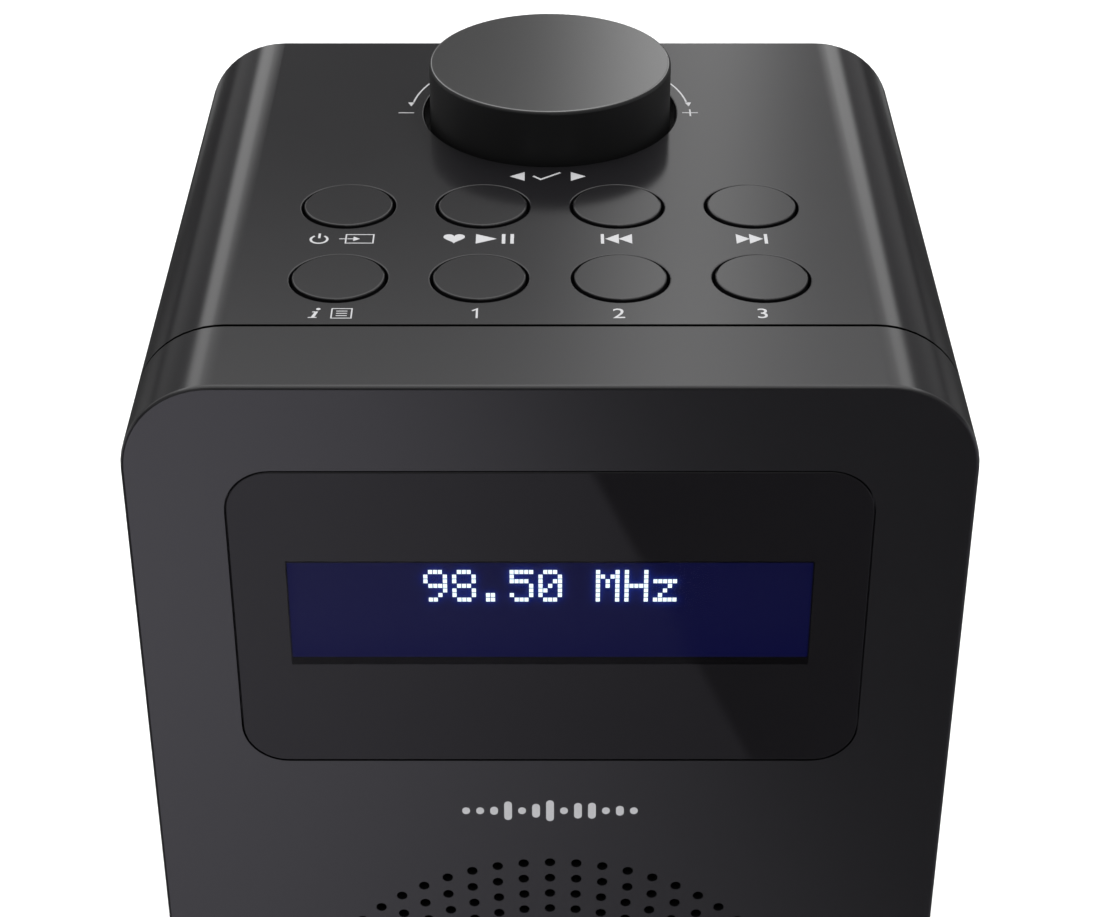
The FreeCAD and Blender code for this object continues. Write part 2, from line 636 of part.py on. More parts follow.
def rear_cover():
    """The flat back with holes for sockets, screws and the antenna's pivot."""
    plate = outline(WALL + REAR_GAP, (REAR_INSIDE_Y, REAR_FACE_Y))
    panel = slab(JACK_PANEL_WIDTH, JACK_PANEL_HEIGHT, JACK_PANEL_CORNER,
                 (PANEL_FLOOR_Y, REAR_FACE_Y + 1), PANEL_Z)
    plate = plate.cut(panel)
    through = (REAR_INSIDE_Y - 1, REAR_FACE_Y + 1)
    cuts = [rod_y(DC_BARREL_RADIUS + JACK_HOLE_CLEARANCE, DC_X, DC_Z, through)]
    for x in AUDIO_X:
        cuts.append(rod_y(AUDIO_BARREL_RADIUS + JACK_HOLE_CLEARANCE, x, AUDIO_Z, through))
    port_width = PORT_WIDTH + 2 * JACK_HOLE_CLEARANCE
    port_height = PORT_HEIGHT + 2 * JACK_HOLE_CLEARANCE
    cuts.append(box(around(PORT_X, port_width), through, around(PORT_Z, port_height)))
    cuts.append(rod_y(PIVOT_RADIUS + PIVOT_CLEARANCE, ANTENNA_X, ANTENNA_Z, through))
    cuts.append(rod_y(REST_PEG_RADIUS + SCREW_FIT, REST_X, rest_pad_z(), through))
    sink = SCREW_HEAD_RADIUS + COUNTERBORE_CLEARANCE
    for x, z in corners(BOSS_X, REAR_SCREW_Z):
        cuts.append(rod_y(SCREW_RADIUS + SCREW_HOLE_CLEARANCE, x, z, through))
        cuts.append(rod_y(sink, x, z, (rear_screw_seat(), REAR_FACE_Y + 1)))
    return plate.cut(Part.makeCompound(cuts))


def rear_screw_seat():
    """Where the rear screws' heads sit, sunk into the rear cover."""
    return REAR_INSIDE_Y + REAR_THICK / 2


def foot_places():
    """The (x, y) places of the feet."""
    half_x = BODY_WIDTH / 2 - FOOT_INSET_X
    half_y = BODY_DEPTH / 2 - FOOT_INSET_Y
    return [(x * half_x, MID_Y + y * half_y) for x in (-1, 1) for y in (-1, 1)]


def rubber_feet():
    """Four round feet, pressed a little way into the bottom."""
    feet = []
    for x, y in foot_places():
        foot = rod_z(FOOT_RADIUS, x, y, (0, BASE_Z + FOOT_SEAT_DEPTH))
        feet.append(round_edges(foot, FOOT_EDGE_RADIUS, in_plane("Z", 0)))
    return Part.makeCompound(feet)


def housing_screws():
    """Four screws that hold the front housing and four that hold the rear cover."""
    forward = Vector(0, -1, 0)
    screws = []
    for x, z in corners(BOSS_X, (LOW_BOSS_Z, HIGH_BOSS_Z)):
        place = Vector(x, TAB_END_Y, z)
        screws.append(screw(SCREW_RADIUS, SCREW_HEAD_RADIUS, SCREW_HEAD_HEIGHT,
                            TAB_THICK + FRONT_SCREW_GRIP, place, forward))
    for x, z in corners(BOSS_X, REAR_SCREW_Z):
        place = Vector(x, rear_screw_seat(), z)
        length = rear_screw_seat() - REAR_INSIDE_Y + REAR_SCREW_GRIP
        screws.append(screw(SCREW_RADIUS, SCREW_HEAD_RADIUS, SCREW_HEAD_HEIGHT, length, place, forward))
    return Part.makeCompound(screws)


def board_screw(place, direction, thickness):
    """A small screw through a sheet of some thickness into a post."""
    return screw(BOARD_SCREW_RADIUS, BOARD_SCREW_HEAD_RADIUS, BOARD_SCREW_HEAD_HEIGHT,
                 thickness + BOARD_SCREW_GRIP, place, direction)


def board_screws():
    """The small screws of the three boards."""
    screws = []
    for x, z in corners(LCD_HOLES_X / 2, around(LCD_Z, LCD_HOLES_Z)):
        screws.append(board_screw(Vector(x, LCD_BOARD_BACK_Y, z), Vector(0, -1, 0), BOARD_THICK))
    for x, y in control_posts():
        screws.append(board_screw(Vector(x, y, CONTROL_UNDER_Z), Vector(0, 0, 1), BOARD_THICK))
    for x, y in main_posts():
        screws.append(board_screw(Vector(x, y, MAIN_TOP_Z), Vector(0, 0, -1), BOARD_THICK))
    return Part.makeCompound(screws)


# ---------------------------------------------------------------- display
def display_lens():
    """The clear window, flush with the front."""
    width = WINDOW_WIDTH - 2 * LENS_GAP
    height = WINDOW_HEIGHT - 2 * LENS_GAP
    lens = slab(width, height, WINDOW_CORNER - LENS_GAP, (FRONT_Y, MASK_Y), WINDOW_Z)
    return round_edges(lens, 0.15, in_plane("Y", FRONT_Y))


def display_mask():
    """The dark printed sheet behind the lens, open over the display."""
    width = WINDOW_WIDTH - 2 * LENS_GAP
    height = WINDOW_HEIGHT - 2 * LENS_GAP
    sheet = slab(width, height, WINDOW_CORNER - LENS_GAP, (MASK_Y, MASK_BACK_Y), WINDOW_Z)
    view = box(around(0, VIEW_WIDTH), (MASK_Y - 1, MASK_BACK_Y + 1), around(LCD_Z, VIEW_HEIGHT))
    return sheet.cut(view)


def lcd_bezel():
    """The pressed metal frame round the display's glass."""
    back = LCD_BOARD_Y
    shell = box(around(0, BEZEL_WIDTH), (BEZEL_Y, back), around(LCD_Z, BEZEL_HEIGHT))
    cavity = box(around(0, BEZEL_WIDTH - 2 * BEZEL_SHEET), (BEZEL_Y + BEZEL_SHEET, back + 1),
                 around(LCD_Z, BEZEL_HEIGHT - 2 * BEZEL_SHEET))
    view = box(around(0, VIEW_WIDTH + 2), (BEZEL_Y - 1, back), around(LCD_Z, VIEW_HEIGHT + 2))
    return shell.cut(cavity).cut(view)


def lcd_glass():
    """The display's glass."""
    return box(around(0, GLASS_WIDTH), (GLASS_Y, BACKLIGHT_Y), around(LCD_Z, GLASS_HEIGHT))


def lcd_backlight():
    """The light guide behind the glass."""
    span = (BACKLIGHT_Y, BACKLIGHT_Y + BACKLIGHT_THICK)
    return box(around(0, GLASS_WIDTH), span, around(LCD_Z, GLASS_HEIGHT))


def lcd_board():
    """The display's circuit board."""
    board = box(around(0, LCD_BOARD_WIDTH), (LCD_BOARD_Y, LCD_BOARD_BACK_Y), around(LCD_Z, LCD_BOARD_HEIGHT))
    radius = BOARD_SCREW_RADIUS + BOARD_HOLE_CLEARANCE
    for x, z in corners(LCD_HOLES_X / 2, around(LCD_Z, LCD_HOLES_Z)):
        board = board.cut(rod_y(radius, x, z, (LCD_BOARD_Y - 1, LCD_BOARD_BACK_Y + 1)))
    return board


# ---------------------------------------------------------------- buttons, knob and control board
def control_posts():
    """The (x, y) places of the control board's posts."""
    front = CONTROL_FRONT_Y + CONTROL_POST_INSET
    back = CONTROL_BACK_Y - CONTROL_POST_INSET
    return [(side * CONTROL_POST_X, y) for side in (-1, 1) for y in (front, back)]


def button(column, y):
    """A round cap with a flange under the top and a stem into its switch."""
    x = column * BUTTON_PITCH
    flange_top = CEILING_Z - BUTTON_STOP_GAP
    flange_under = flange_top - BUTTON_FLANGE_THICK
    cap = rod_z(BUTTON_RADIUS, x, y, (flange_under, TOP_Z + BUTTON_PROUD))
    cap = round_edges(cap, BUTTON_EDGE_RADIUS, in_plane("Z", TOP_Z + BUTTON_PROUD))
    flange = rod_z(BUTTON_HOLE_RADIUS + BUTTON_FLANGE, x, y, (flange_under, flange_top))
    stem_end = CONTROL_TOP_Z + SWITCH_HEIGHT - STEM_INSERT
    stem = rod_z(STEM_RADIUS, x, y, (stem_end, flange_under))
    return joined(cap, [flange, stem])


def tact_switches():
    """Eight switches under the buttons; each takes its button's stem."""
    switches = []
    top = CONTROL_TOP_Z + SWITCH_HEIGHT
    for column, y in BUTTON_NAMES.values():
        x = column * BUTTON_PITCH
        body = box(around(x, SWITCH_SIZE), around(y, SWITCH_SIZE), (CONTROL_TOP_Z, top))
        bore = rod_z(STEM_RADIUS + SWITCH_BORE_CLEARANCE, x, y, (top - SWITCH_BORE_DEPTH, top + 1))
        switches.append(body.cut(bore))
    return Part.makeCompound(switches)


def control_board():
    """The board under the top that carries the switches and the encoder."""
    span_y = (CONTROL_FRONT_Y, CONTROL_BACK_Y)
    board = box(around(0, CONTROL_BOARD_WIDTH), span_y, (CONTROL_UNDER_Z, CONTROL_TOP_Z))
    radius = BOARD_SCREW_RADIUS + BOARD_HOLE_CLEARANCE
    for x, y in control_posts():
        board = board.cut(rod_z(radius, x, y, (CONTROL_UNDER_Z - 1, CONTROL_TOP_Z + 1)))
    return board


def encoder_body():
    """The encoder's housing with its threaded bush, bored for shaft and plunger."""
    housing = box(around(0, ENCODER_SIZE), around(KNOB_Y, ENCODER_SIZE), (CONTROL_TOP_Z, WELL_UNDER_Z))
    bush_top = WELL_FLOOR_Z + BUSH_RISE
    bush = rod_z(BUSH_RADIUS, 0, KNOB_Y, (WELL_UNDER_Z - 1, bush_top))
    bore = rod_z(SHAFT_RADIUS + SHAFT_CLEARANCE, 0, KNOB_Y, (CONTROL_TOP_Z + ENCODER_FLOOR, bush_top + 1))
    return joined(housing, [bush]).cut(bore)


def encoder_nut():
    """The thin hexagon nut that clamps the encoder to the well's floor."""
    corner = NUT_ACROSS_FLATS / math.sqrt(3)
    points = []
    for index in range(6):
        angle = math.radians(60 * index)
        points.append(Vector(corner * math.cos(angle), KNOB_Y + corner * math.sin(angle), WELL_FLOOR_Z))
    prism = Part.Face(Part.makePolygon(points + points[:1])).extrude(Vector(0, 0, NUT_HEIGHT))
    hole = rod_z(BUSH_RADIUS + NUT_FIT, 0, KNOB_Y, (WELL_FLOOR_Z - 1, WELL_FLOOR_Z + NUT_HEIGHT + 1))
    return prism.cut(hole)


def plunger_span():
    """The encoder plunger's low and high Z; its travel is left free below it."""
    low = CONTROL_TOP_Z + ENCODER_FLOOR + KNOB_TRAVEL + PLUNGER_GAP
    return (low, low + PLUNGER_HEIGHT)


def encoder_plunger():
    """The sprung disc under the shaft that feels a push on the knob."""
    return rod_z(SHAFT_RADIUS, 0, KNOB_Y, plunger_span())


def encoder_shaft():
    """The turning shaft, with a flat for the knob."""
    top = TOP_Z + KNOB_TOP - KNOB_CEILING - HUB_GAP
    shaft = rod_z(SHAFT_RADIUS, 0, KNOB_Y, (plunger_span()[1] + PLUNGER_GAP, top))
    flat_y = KNOB_Y + SHAFT_RADIUS / 2
    flat = box(around(0, 4 * SHAFT_RADIUS), (flat_y, flat_y + 2 * SHAFT_RADIUS), (hub_under(), top + 1))
    return shaft.cut(flat)


def hub_under():
    """The underside of the knob's hub, clear of the bush when it is pressed."""
    return WELL_FLOOR_Z + BUSH_RISE + KNOB_TRAVEL + HUB_GAP


def knob():
    """A hollow round knob with a hub that grips the shaft's flat."""
    under = TOP_Z - KNOB_SKIRT
    top = TOP_Z + KNOB_TOP
    ceiling = top - KNOB_CEILING
    shell = rod_z(KNOB_RADIUS, 0, KNOB_Y, (under, top))
    shell = round_edges(shell, KNOB_EDGE, in_plane("Z", top))
    shell = shell.cut(rod_z(KNOB_RADIUS - KNOB_WALL, 0, KNOB_Y, (under - 1, ceiling)))
    hub = rod_z(HUB_RADIUS, 0, KNOB_Y, (hub_under(), ceiling))
    bore = rod_z(SHAFT_RADIUS + HUB_FIT, 0, KNOB_Y, (hub_under() - 1, ceiling))
    flat_y = KNOB_Y + SHAFT_RADIUS / 2 + HUB_FIT
    flat = box(around(0, 4 * SHAFT_RADIUS), (flat_y, flat_y + 2 * SHAFT_RADIUS), (hub_under(), ceiling))
    return joined(shell, [hub.cut(bore.cut(flat))])


# ---------------------------------------------------------------- loudspeaker
def grille_cloth():
    """The dark cloth glued behind the holes."""
    return rod_y(RING_INNER - CLOTH_GAP, 0, SPEAKER_Z, (FRONT_INSIDE_Y, FRONT_INSIDE_Y + CLOTH_THICK))


def speaker_gasket():
    """The foam ring between the housing and the basket."""
    return ring_y(RING_OUTER, RING_INNER, 0, SPEAKER_Z, (GASKET_Y, BASKET_Y))


def speaker_basket():
    """The pressed steel frame, with windows in its cone and a tab for the terminal."""
    front = BASKET_Y + BASKET_SHEET
    back = BASKET_Y + BASKET_DEPTH
    hole = ROLL_OUTER
    profile = [(RING_OUTER, BASKET_Y), (hole, BASKET_Y), (hole, front), (BASKET_NECK - BASKET_SHEET, back),
               (COIL_RADIUS + POLE_GAP, back), (COIL_RADIUS + POLE_GAP, PLATE_Y), (BASKET_NECK, PLATE_Y),
               (hole + BASKET_SHEET, front), (RING_OUTER, front)]
    basket = turned_y(profile, 0, SPEAKER_Z)
    middle_y = (front + back) / 2
    for index in range(4):
        angle = math.radians(45 + 90 * index)
        aim = Vector(math.cos(angle), 0, math.sin(angle))
        start = Vector(0, middle_y, SPEAKER_Z) + aim * (COIL_RADIUS + 4)
        basket = basket.cut(Part.makeCylinder(BASKET_WINDOW_RADIUS, RING_OUTER, start, aim))
    ears = []
    for x, z in speaker_ears():
        ear = rod_y(EAR_RADIUS, x, z, (BASKET_Y, front))
        ears.append(ear.cut(rod_y(RING_OUTER - 1, 0, SPEAKER_Z, (BASKET_Y - 1, front + 1))))
    ears.append(terminal_tab())
    basket = joined(basket, ears)
    for x, z in speaker_ears():
        hole_radius = BOARD_SCREW_RADIUS + BOARD_HOLE_CLEARANCE
        basket = basket.cut(rod_y(hole_radius, x, z, (BASKET_Y - 1, front + 1)))
    return basket


def terminal_x():
    """Where the terminal strip starts, outside the basket's wall."""
    return ROLL_OUTER - 1.0


def terminal_span():
    """The terminal strip's low and high Y."""
    return around(BASKET_Y + BASKET_DEPTH * 0.4, TERMINAL_SIZE[1])


def terminal_tab():
    """The tab on the basket that holds the terminal strip."""
    wall = ROLL_OUTER - (ROLL_OUTER - BASKET_NECK) * 0.4
    y_span = around(BASKET_Y + BASKET_DEPTH * 0.4, BASKET_SHEET)
    return box((wall, terminal_x()), y_span, around(SPEAKER_Z, TERMINAL_SIZE[2] * 0.8))


def speaker_terminal():
    """The strip where the leads are soldered."""
    x_span = (terminal_x(), terminal_x() + TERMINAL_SIZE[0])
    return box(x_span, terminal_span(), around(SPEAKER_Z, TERMINAL_SIZE[2]))


def speaker_surround():
    """The soft half-round roll between basket and cone."""
    centre = Vector(ROLL_MIDDLE, BASKET_Y - SURROUND_SHEET, SPEAKER_Z)
    outer = Part.makeTorus(ROLL_MIDDLE, SURROUND_ROLL, Vector(0, centre.y, SPEAKER_Z), Vector(0, 1, 0))
    inner = Part.makeTorus(ROLL_MIDDLE, SURROUND_ROLL - SURROUND_SHEET,
                           Vector(0, centre.y, SPEAKER_Z), Vector(0, 1, 0))
    keep = ring_y(RING_OUTER, 1, 0, SPEAKER_Z, (BASKET_Y - 2 * SURROUND_ROLL - 1, centre.y))
    roll = outer.cut(inner).common(keep)
    flat = (centre.y, BASKET_Y)
    outer_lip = ring_y(RING_INNER - CLOTH_GAP, ROLL_OUTER - SURROUND_SHEET, 0, SPEAKER_Z, flat)
    inner_lip = ring_y(CONE_RADIUS + SURROUND_SHEET, CONE_RADIUS - 1.5, 0, SPEAKER_Z, flat)
    return joined(roll, [outer_lip, inner_lip])


def speaker_cone():
    """The paper cone."""
    profile = [(CONE_RADIUS, BASKET_Y), (COIL_RADIUS, BASKET_Y + CONE_DEPTH),
               (COIL_RADIUS, BASKET_Y + CONE_DEPTH + CONE_SHEET), (CONE_RADIUS, BASKET_Y + CONE_SHEET)]
    return turned_y(profile, 0, SPEAKER_Z)


def speaker_dust_cap():
    """The small dome over the voice coil."""
    rim = COIL_RADIUS - CAP_SHEET
    rise = CAP_SPHERE - math.sqrt(CAP_SPHERE ** 2 - rim ** 2)
    rim_y = BASKET_Y + CONE_DEPTH - CAP_SHEET
    centre = Vector(0, rim_y + CAP_SPHERE - rise, SPEAKER_Z)
    shell = Part.makeSphere(CAP_SPHERE, centre).cut(Part.makeSphere(CAP_SPHERE - CAP_SHEET, centre))
    return shell.common(rod_y(rim, 0, SPEAKER_Z, (rim_y - rise - 1, rim_y)))


def speaker_voice_coil():
    """The coil on its former, in the magnet's gap."""
    start = BASKET_Y + CONE_DEPTH
    return ring_y(COIL_RADIUS, COIL_RADIUS - COIL_SHEET, 0, SPEAKER_Z, (start, start + COIL_LENGTH))


def speaker_top_plate():
    """The steel ring in front of the magnet."""
    return ring_y(PLATE_RADIUS, COIL_RADIUS + POLE_GAP, 0, SPEAKER_Z, (PLATE_Y, MAGNET_Y))


def speaker_magnet():
    """The ring magnet."""
    return ring_y(MAGNET_RADIUS, MAGNET_BORE, 0, SPEAKER_Z, (MAGNET_Y, YOKE_Y))


def speaker_yoke():
    """The back plate with its pole through the coil."""
    plate = rod_y(PLATE_RADIUS, 0, SPEAKER_Z, (YOKE_Y, YOKE_END_Y))
    pole = rod_y(COIL_RADIUS - COIL_SHEET - POLE_GAP, 0, SPEAKER_Z, (PLATE_Y, YOKE_Y))
    return joined(plate, [pole])


def speaker_screws():
    """Four screws through the basket's ears."""
    screws = []
    for x, z in speaker_ears():
        place = Vector(x, BASKET_Y + BASKET_SHEET, z)
        screws.append(board_screw(place, Vector(0, -1, 0), BASKET_SHEET))
    return Part.makeCompound(screws)


# ---------------------------------------------------------------- main board
def main_posts():
    """The (x, y) places of the main board's posts."""
    half = MAIN_BOARD_WIDTH / 2 - MAIN_POST_INSET
    rows = (MAIN_FRONT_Y + MAIN_POST_INSET, MAIN_BACK_Y - MAIN_POST_INSET)
    return [(side * half, y) for side in (-1, 1) for y in rows]


def main_board():
    """The board in the bottom of the cabinet."""
    under = FLOOR_Z + MAIN_STANDOFF
    board = box(around(0, MAIN_BOARD_WIDTH), (MAIN_FRONT_Y, MAIN_BACK_Y), (under, MAIN_TOP_Z))
    radius = BOARD_SCREW_RADIUS + BOARD_HOLE_CLEARANCE
    for x, y in main_posts():
        board = board.cut(rod_z(radius, x, y, (under - 1, MAIN_TOP_Z + 1)))
    return board


def display_plug_y():
    """The display ribbon's connector, behind the loudspeaker's yoke."""
    return max(YOKE_END_Y, MAIN_FRONT_Y) + 6.0


def control_plug_place():
    """The control ribbon's connector, near the board's left edge."""
    return (RIBBON_WIDTH / 2 + 0.5 - MAIN_BOARD_WIDTH / 2 + 3.0, MAIN_BACK_Y - JACK_LENGTH - 8.0)


def speaker_plug_place():
    """The speaker leads' connector, near the board's right edge."""
    return (MAIN_BOARD_WIDTH / 2 - 8.0, MAIN_FRONT_Y + 14.0)


def board_connectors():
    """Connectors for the display, the controls and the loudspeaker."""
    width, depth, height = CONNECTOR_SIZE
    z_span = (MAIN_TOP_Z, MAIN_TOP_Z + height)
    control_x, control_y = control_plug_place()
    speaker_x, speaker_y = speaker_plug_place()
    blocks = [
        box(around(0, width), around(display_plug_y(), depth), z_span),
        box(around(control_x, width), around(control_y, depth), z_span),
        box(around(speaker_x, width / 2), around(speaker_y, depth), z_span),
    ]
    return Part.makeCompound(blocks)


def display_ribbon():
    """The flat cable from the display's board to the main board."""
    top = LCD_Z - LCD_BOARD_HEIGHT / 2 + 6.0
    back = display_plug_y()
    points = [(LCD_BOARD_BACK_Y, top), (LCD_BOARD_BACK_Y + 9.0, top), (back, SPEAKER_Z + 32.0),
              (back, MAIN_TOP_Z + CONNECTOR_SIZE[2] + CONNECTOR_GAP)]
    return ribbon(0, points, RIBBON_BEND)


def control_ribbon():
    """The flat cable from the control board to the main board."""
    plug_x, plug_y = control_plug_place()
    back = CONTROL_BACK_Y + 3.5
    knee = MAIN_TOP_Z + 34.0
    level = CONTROL_TOP_Z - BOARD_THICK / 2
    points = [(CONTROL_BACK_Y, level), (back, level), (back, knee), (plug_y, knee - 16.0),
              (plug_y, MAIN_TOP_Z + CONNECTOR_SIZE[2] + CONNECTOR_GAP)]
    return ribbon(plug_x, points, RIBBON_BEND)


def speaker_leads():
    """Two wires from the terminal strip to their connector."""
    plug_x, plug_y = speaker_plug_place()
    start_x = terminal_x() + TERMINAL_SIZE[0]
    start_y = sum(terminal_span()) / 2
    leads = []
    for side in (-1, 1):
        offset = side * LEAD_SPACING / 2
        points = [(start_x, start_y, SPEAKER_Z + offset),
                  (start_x + 7.0, start_y, SPEAKER_Z + offset),
                  (start_x + 5.0, start_y + 14.0, SPEAKER_Z - 12.0 + offset),
                  (plug_x + offset, plug_y, MAIN_TOP_Z + 16.0 + offset / 2),
                  (plug_x + offset, plug_y, MAIN_TOP_Z + CONNECTOR_SIZE[2] + CONNECTOR_GAP)]
        leads.append(tube(points, LEAD_RADIUS, LEAD_BEND))
    return Part.makeCompound(leads)


def module_place():
    """The radio module's middle on the main board."""
    x = -MAIN_BOARD_WIDTH / 2 + MODULE_MARGIN[0] + MODULE_SIZE[0] / 2
    y = MAIN_FRONT_Y + MODULE_MARGIN[1] + MODULE_SIZE[1] / 2
    return (x, y)


def on_main_board(place, size):
    """A block standing on the main board."""
    x, y = place
    return box(around(x, size[0]), around(y, size[1]), (MAIN_TOP_Z, MAIN_TOP_Z + size[2]))


def radio_module():
    """The receiver under its screening can."""
    can = on_main_board(module_place(), MODULE_SIZE)
    return round_edges(can, 0.6, in_plane("Z", MAIN_TOP_Z + MODULE_SIZE[2]))


def amplifier_chip():
    """The audio amplifier."""
    place = (MAIN_BOARD_WIDTH / 2 - CHIP_INSET[0], MAIN_FRONT_Y + CHIP_INSET[1])
    return on_main_board(place, CHIP_SIZE)


def capacitors():
    """A row of electrolytic capacitors."""
    cans = []
    for index in range(CAPACITOR_COUNT):
        x = CAPACITOR_FIRST_X + index * CAPACITOR_PITCH
        y = JACK_FACE_Y - JACK_LENGTH - CAPACITOR_GAP - CAPACITOR_RADIUS
        can = rod_z(CAPACITOR_RADIUS, x, y, (MAIN_TOP_Z, MAIN_TOP_Z + CAPACITOR_HEIGHT))
        cans.append(round_edges(can, 0.5, in_plane("Z", MAIN_TOP_Z + CAPACITOR_HEIGHT)))
    return Part.makeCompound(cans)


def dc_jack():
    """The power socket: block, barrel through the rear cover, and its pin."""
    block = box(around(DC_X, DC_WIDTH), (JACK_FACE_Y - JACK_LENGTH, JACK_FACE_Y),
                (MAIN_TOP_Z, MAIN_TOP_Z + DC_HEIGHT))
    barrel = rod_y(DC_BARREL_RADIUS, DC_X, DC_Z, (JACK_FACE_Y - 1, PANEL_FLOOR_Y))
    bore = rod_y(DC_BORE_RADIUS, DC_X, DC_Z, (PANEL_FLOOR_Y - DC_BORE_LENGTH, PANEL_FLOOR_Y + 1))
    pin = rod_y(DC_PIN_RADIUS, DC_X, DC_Z, (PANEL_FLOOR_Y - DC_BORE_LENGTH - 1, PANEL_FLOOR_Y - DC_PIN_RECESS))
    return joined(joined(block, [barrel]).cut(bore), [pin])


def audio_jacks():
    """The headphone and line-in sockets, 3.5 mm size."""
    jacks = []
    for x in AUDIO_X:
        block = box(around(x, AUDIO_WIDTH), (JACK_FACE_Y - JACK_LENGTH, JACK_FACE_Y),
                    (MAIN_TOP_Z, MAIN_TOP_Z + AUDIO_HEIGHT))
        barrel = rod_y(AUDIO_BARREL_RADIUS, x, AUDIO_Z, (JACK_FACE_Y - 1, PANEL_FLOOR_Y))
        bore = rod_y(AUDIO_BORE_RADIUS, x, AUDIO_Z, (PANEL_FLOOR_Y - AUDIO_BORE_LENGTH, PANEL_FLOOR_Y + 1))
        jacks.append(joined(block, [barrel]).cut(bore))
    return Part.makeCompound(jacks)


def service_port():
    """The small service socket: a folded shell with a tongue inside."""
    y_span = (PANEL_FLOOR_Y - PORT_LENGTH, PANEL_FLOOR_Y)
    shell = box(around(PORT_X, PORT_WIDTH), y_span, around(PORT_Z, PORT_HEIGHT))
    shell = shell.makeFillet(0.6, [e for e in shell.Edges if abs(e.tangentAt(e.FirstParameter).y) > 0.99])
    inside = box(around(PORT_X, PORT_WIDTH - 2 * PORT_SHEET),
                 (y_span[0] + 1, y_span[1] + 1), around(PORT_Z, PORT_HEIGHT - 2 * PORT_SHEET))
    tongue = box(around(PORT_X, PORT_TONGUE[0]), (y_span[0] + 0.5, y_span[1] - 1),
                 around(PORT_Z, PORT_TONGUE[1]))
    saddle = box(around(PORT_X, PORT_WIDTH - 2), (y_span[0], JACK_FACE_Y),
                 (MAIN_TOP_Z, PORT_Z - PORT_HEIGHT / 2 + PORT_SHEET / 2))
    return joined(shell.cut(inside), [tongue, saddle])


# ---------------------------------------------------------------- antenna
def antenna_base():
    """The turning foot: pivot through the rear cover, flange and two ears."""
    pivot = rod_y(PIVOT_RADIUS, ANTENNA_X, ANTENNA_Z, (RETAINER_Y, BASE_Y + 0.1))
    flange = rod_y(BASE_RADIUS, ANTENNA_X, ANTENNA_Z, (BASE_Y, BASE_FACE_Y))
    flange = round_edges(flange, 0.4, in_plane("Y", BASE_FACE_Y))
    radius = ROD_RADIUS
    ears = []
    for side in (-1, 1):
        low = ELBOW_TONGUE / 2 + TONGUE_GAP
        z_span = sorted((ANTENNA_Z + side * low, ANTENNA_Z + side * (low + EAR_THICK)))
        ears.append(rod_z(radius, ANTENNA_X, PIN_Y, z_span))
        ears.append(box(around(ANTENNA_X, 2 * radius), (BASE_FACE_Y - 0.5, PIN_Y), z_span))
    foot = joined(pivot, [flange] + ears)
    foot = foot.cut(rod_z(PIN_RADIUS, ANTENNA_X, PIN_Y, around(ANTENNA_Z, 4 * radius)))
    thread = rod_y(BOARD_SCREW_RADIUS + SCREW_FIT, ANTENNA_X, ANTENNA_Z, (RETAINER_Y - 1, RETAINER_Y + 4))
    return foot.cut(thread)


def antenna_retainer():
    """The washer and screw that keep the foot in the rear cover."""
    washer = rod_y(WASHER_RADIUS, ANTENNA_X, ANTENNA_Z, (RETAINER_Y - WASHER_THICK, RETAINER_Y))
    bolt = board_screw(Vector(ANTENNA_X, RETAINER_Y - WASHER_THICK, ANTENNA_Z), Vector(0, 1, 0), 0)
    shortened = bolt.common(rod_y(WASHER_RADIUS, ANTENNA_X, ANTENNA_Z, (RETAINER_Y - 9, RETAINER_Y + 3.5)))
    return joined(washer, [shortened])


def antenna_pin():
    """The elbow's pin, pressed in the ears."""
    half = ELBOW_TONGUE / 2 + TONGUE_GAP + EAR_THICK
    pin = rod_z(PIN_RADIUS, ANTENNA_X, PIN_Y, around(ANTENNA_Z, 2 * half))
    heads = []
    for z_span in ((ANTENNA_Z + half, ANTENNA_Z + half + PIN_HEAD), (ANTENNA_Z - half - PIN_HEAD, ANTENNA_Z - half)):
        heads.append(rod_z(PIN_RADIUS + 0.6, ANTENNA_X, PIN_Y, z_span))
    return joined(pin, heads)


def antenna_elbow():
    """The flat tongue on the pin, with a collar and a plug for the first section."""
    radius = ROD_RADIUS
    shoulder = ANTENNA_X + ELBOW_SHOULDER
    collar = rod_x(radius, PIN_Y, ANTENNA_Z, (shoulder, ROD_START_X))
    plug_radius = radius - ROD_SHEET - ROD_CLEARANCE
    plug = rod_x(plug_radius, PIN_Y, ANTENNA_Z, (shoulder, ROD_START_X + ELBOW_PLUG))
    z_span = around(ANTENNA_Z, ELBOW_TONGUE)
    eye = rod_z(radius - 0.1, ANTENNA_X, PIN_Y, z_span)
    neck = box((ANTENNA_X, shoulder + 0.5), around(PIN_Y, 2 * radius - 1.2), z_span)
    elbow = joined(collar, [plug, eye, neck])
    return elbow.cut(rod_z(PIN_RADIUS + PIN_CLEARANCE, ANTENNA_X, PIN_Y, around(ANTENNA_Z, 4 * radius)))


def antenna_section(index):
    """One tube of the rod, the outermost first; the last is solid and carries the tip."""
    radius = ROD_RADII[index]
    start = ROD_START_X
    if index > 0:
        start += ELBOW_PLUG + ROD_INNER_GAP * index
    end = ROD_START_X + ROD_LENGTH + ROD_STEP * index
    rod = rod_x(radius, PIN_Y, ANTENNA_Z, (start, end))
    if index < ROD_SECTIONS - 1:
        return rod.cut(rod_x(radius - ROD_SHEET, PIN_Y, ANTENNA_Z, (start - 1, end + 1)))
    tip = rod_x(TIP_RADIUS, PIN_Y, ANTENNA_Z, (end, end + TIP_LENGTH))
    tip = round_edges(tip, 0.8, in_plane("X", end + TIP_LENGTH))
    return joined(rod, [tip])


def rest_pad_z():
    """The height of the peg that holds the antenna's rest."""
    return ANTENNA_Z - ROD_RADIUS - REST_GAP - REST_PAD_HEIGHT / 2


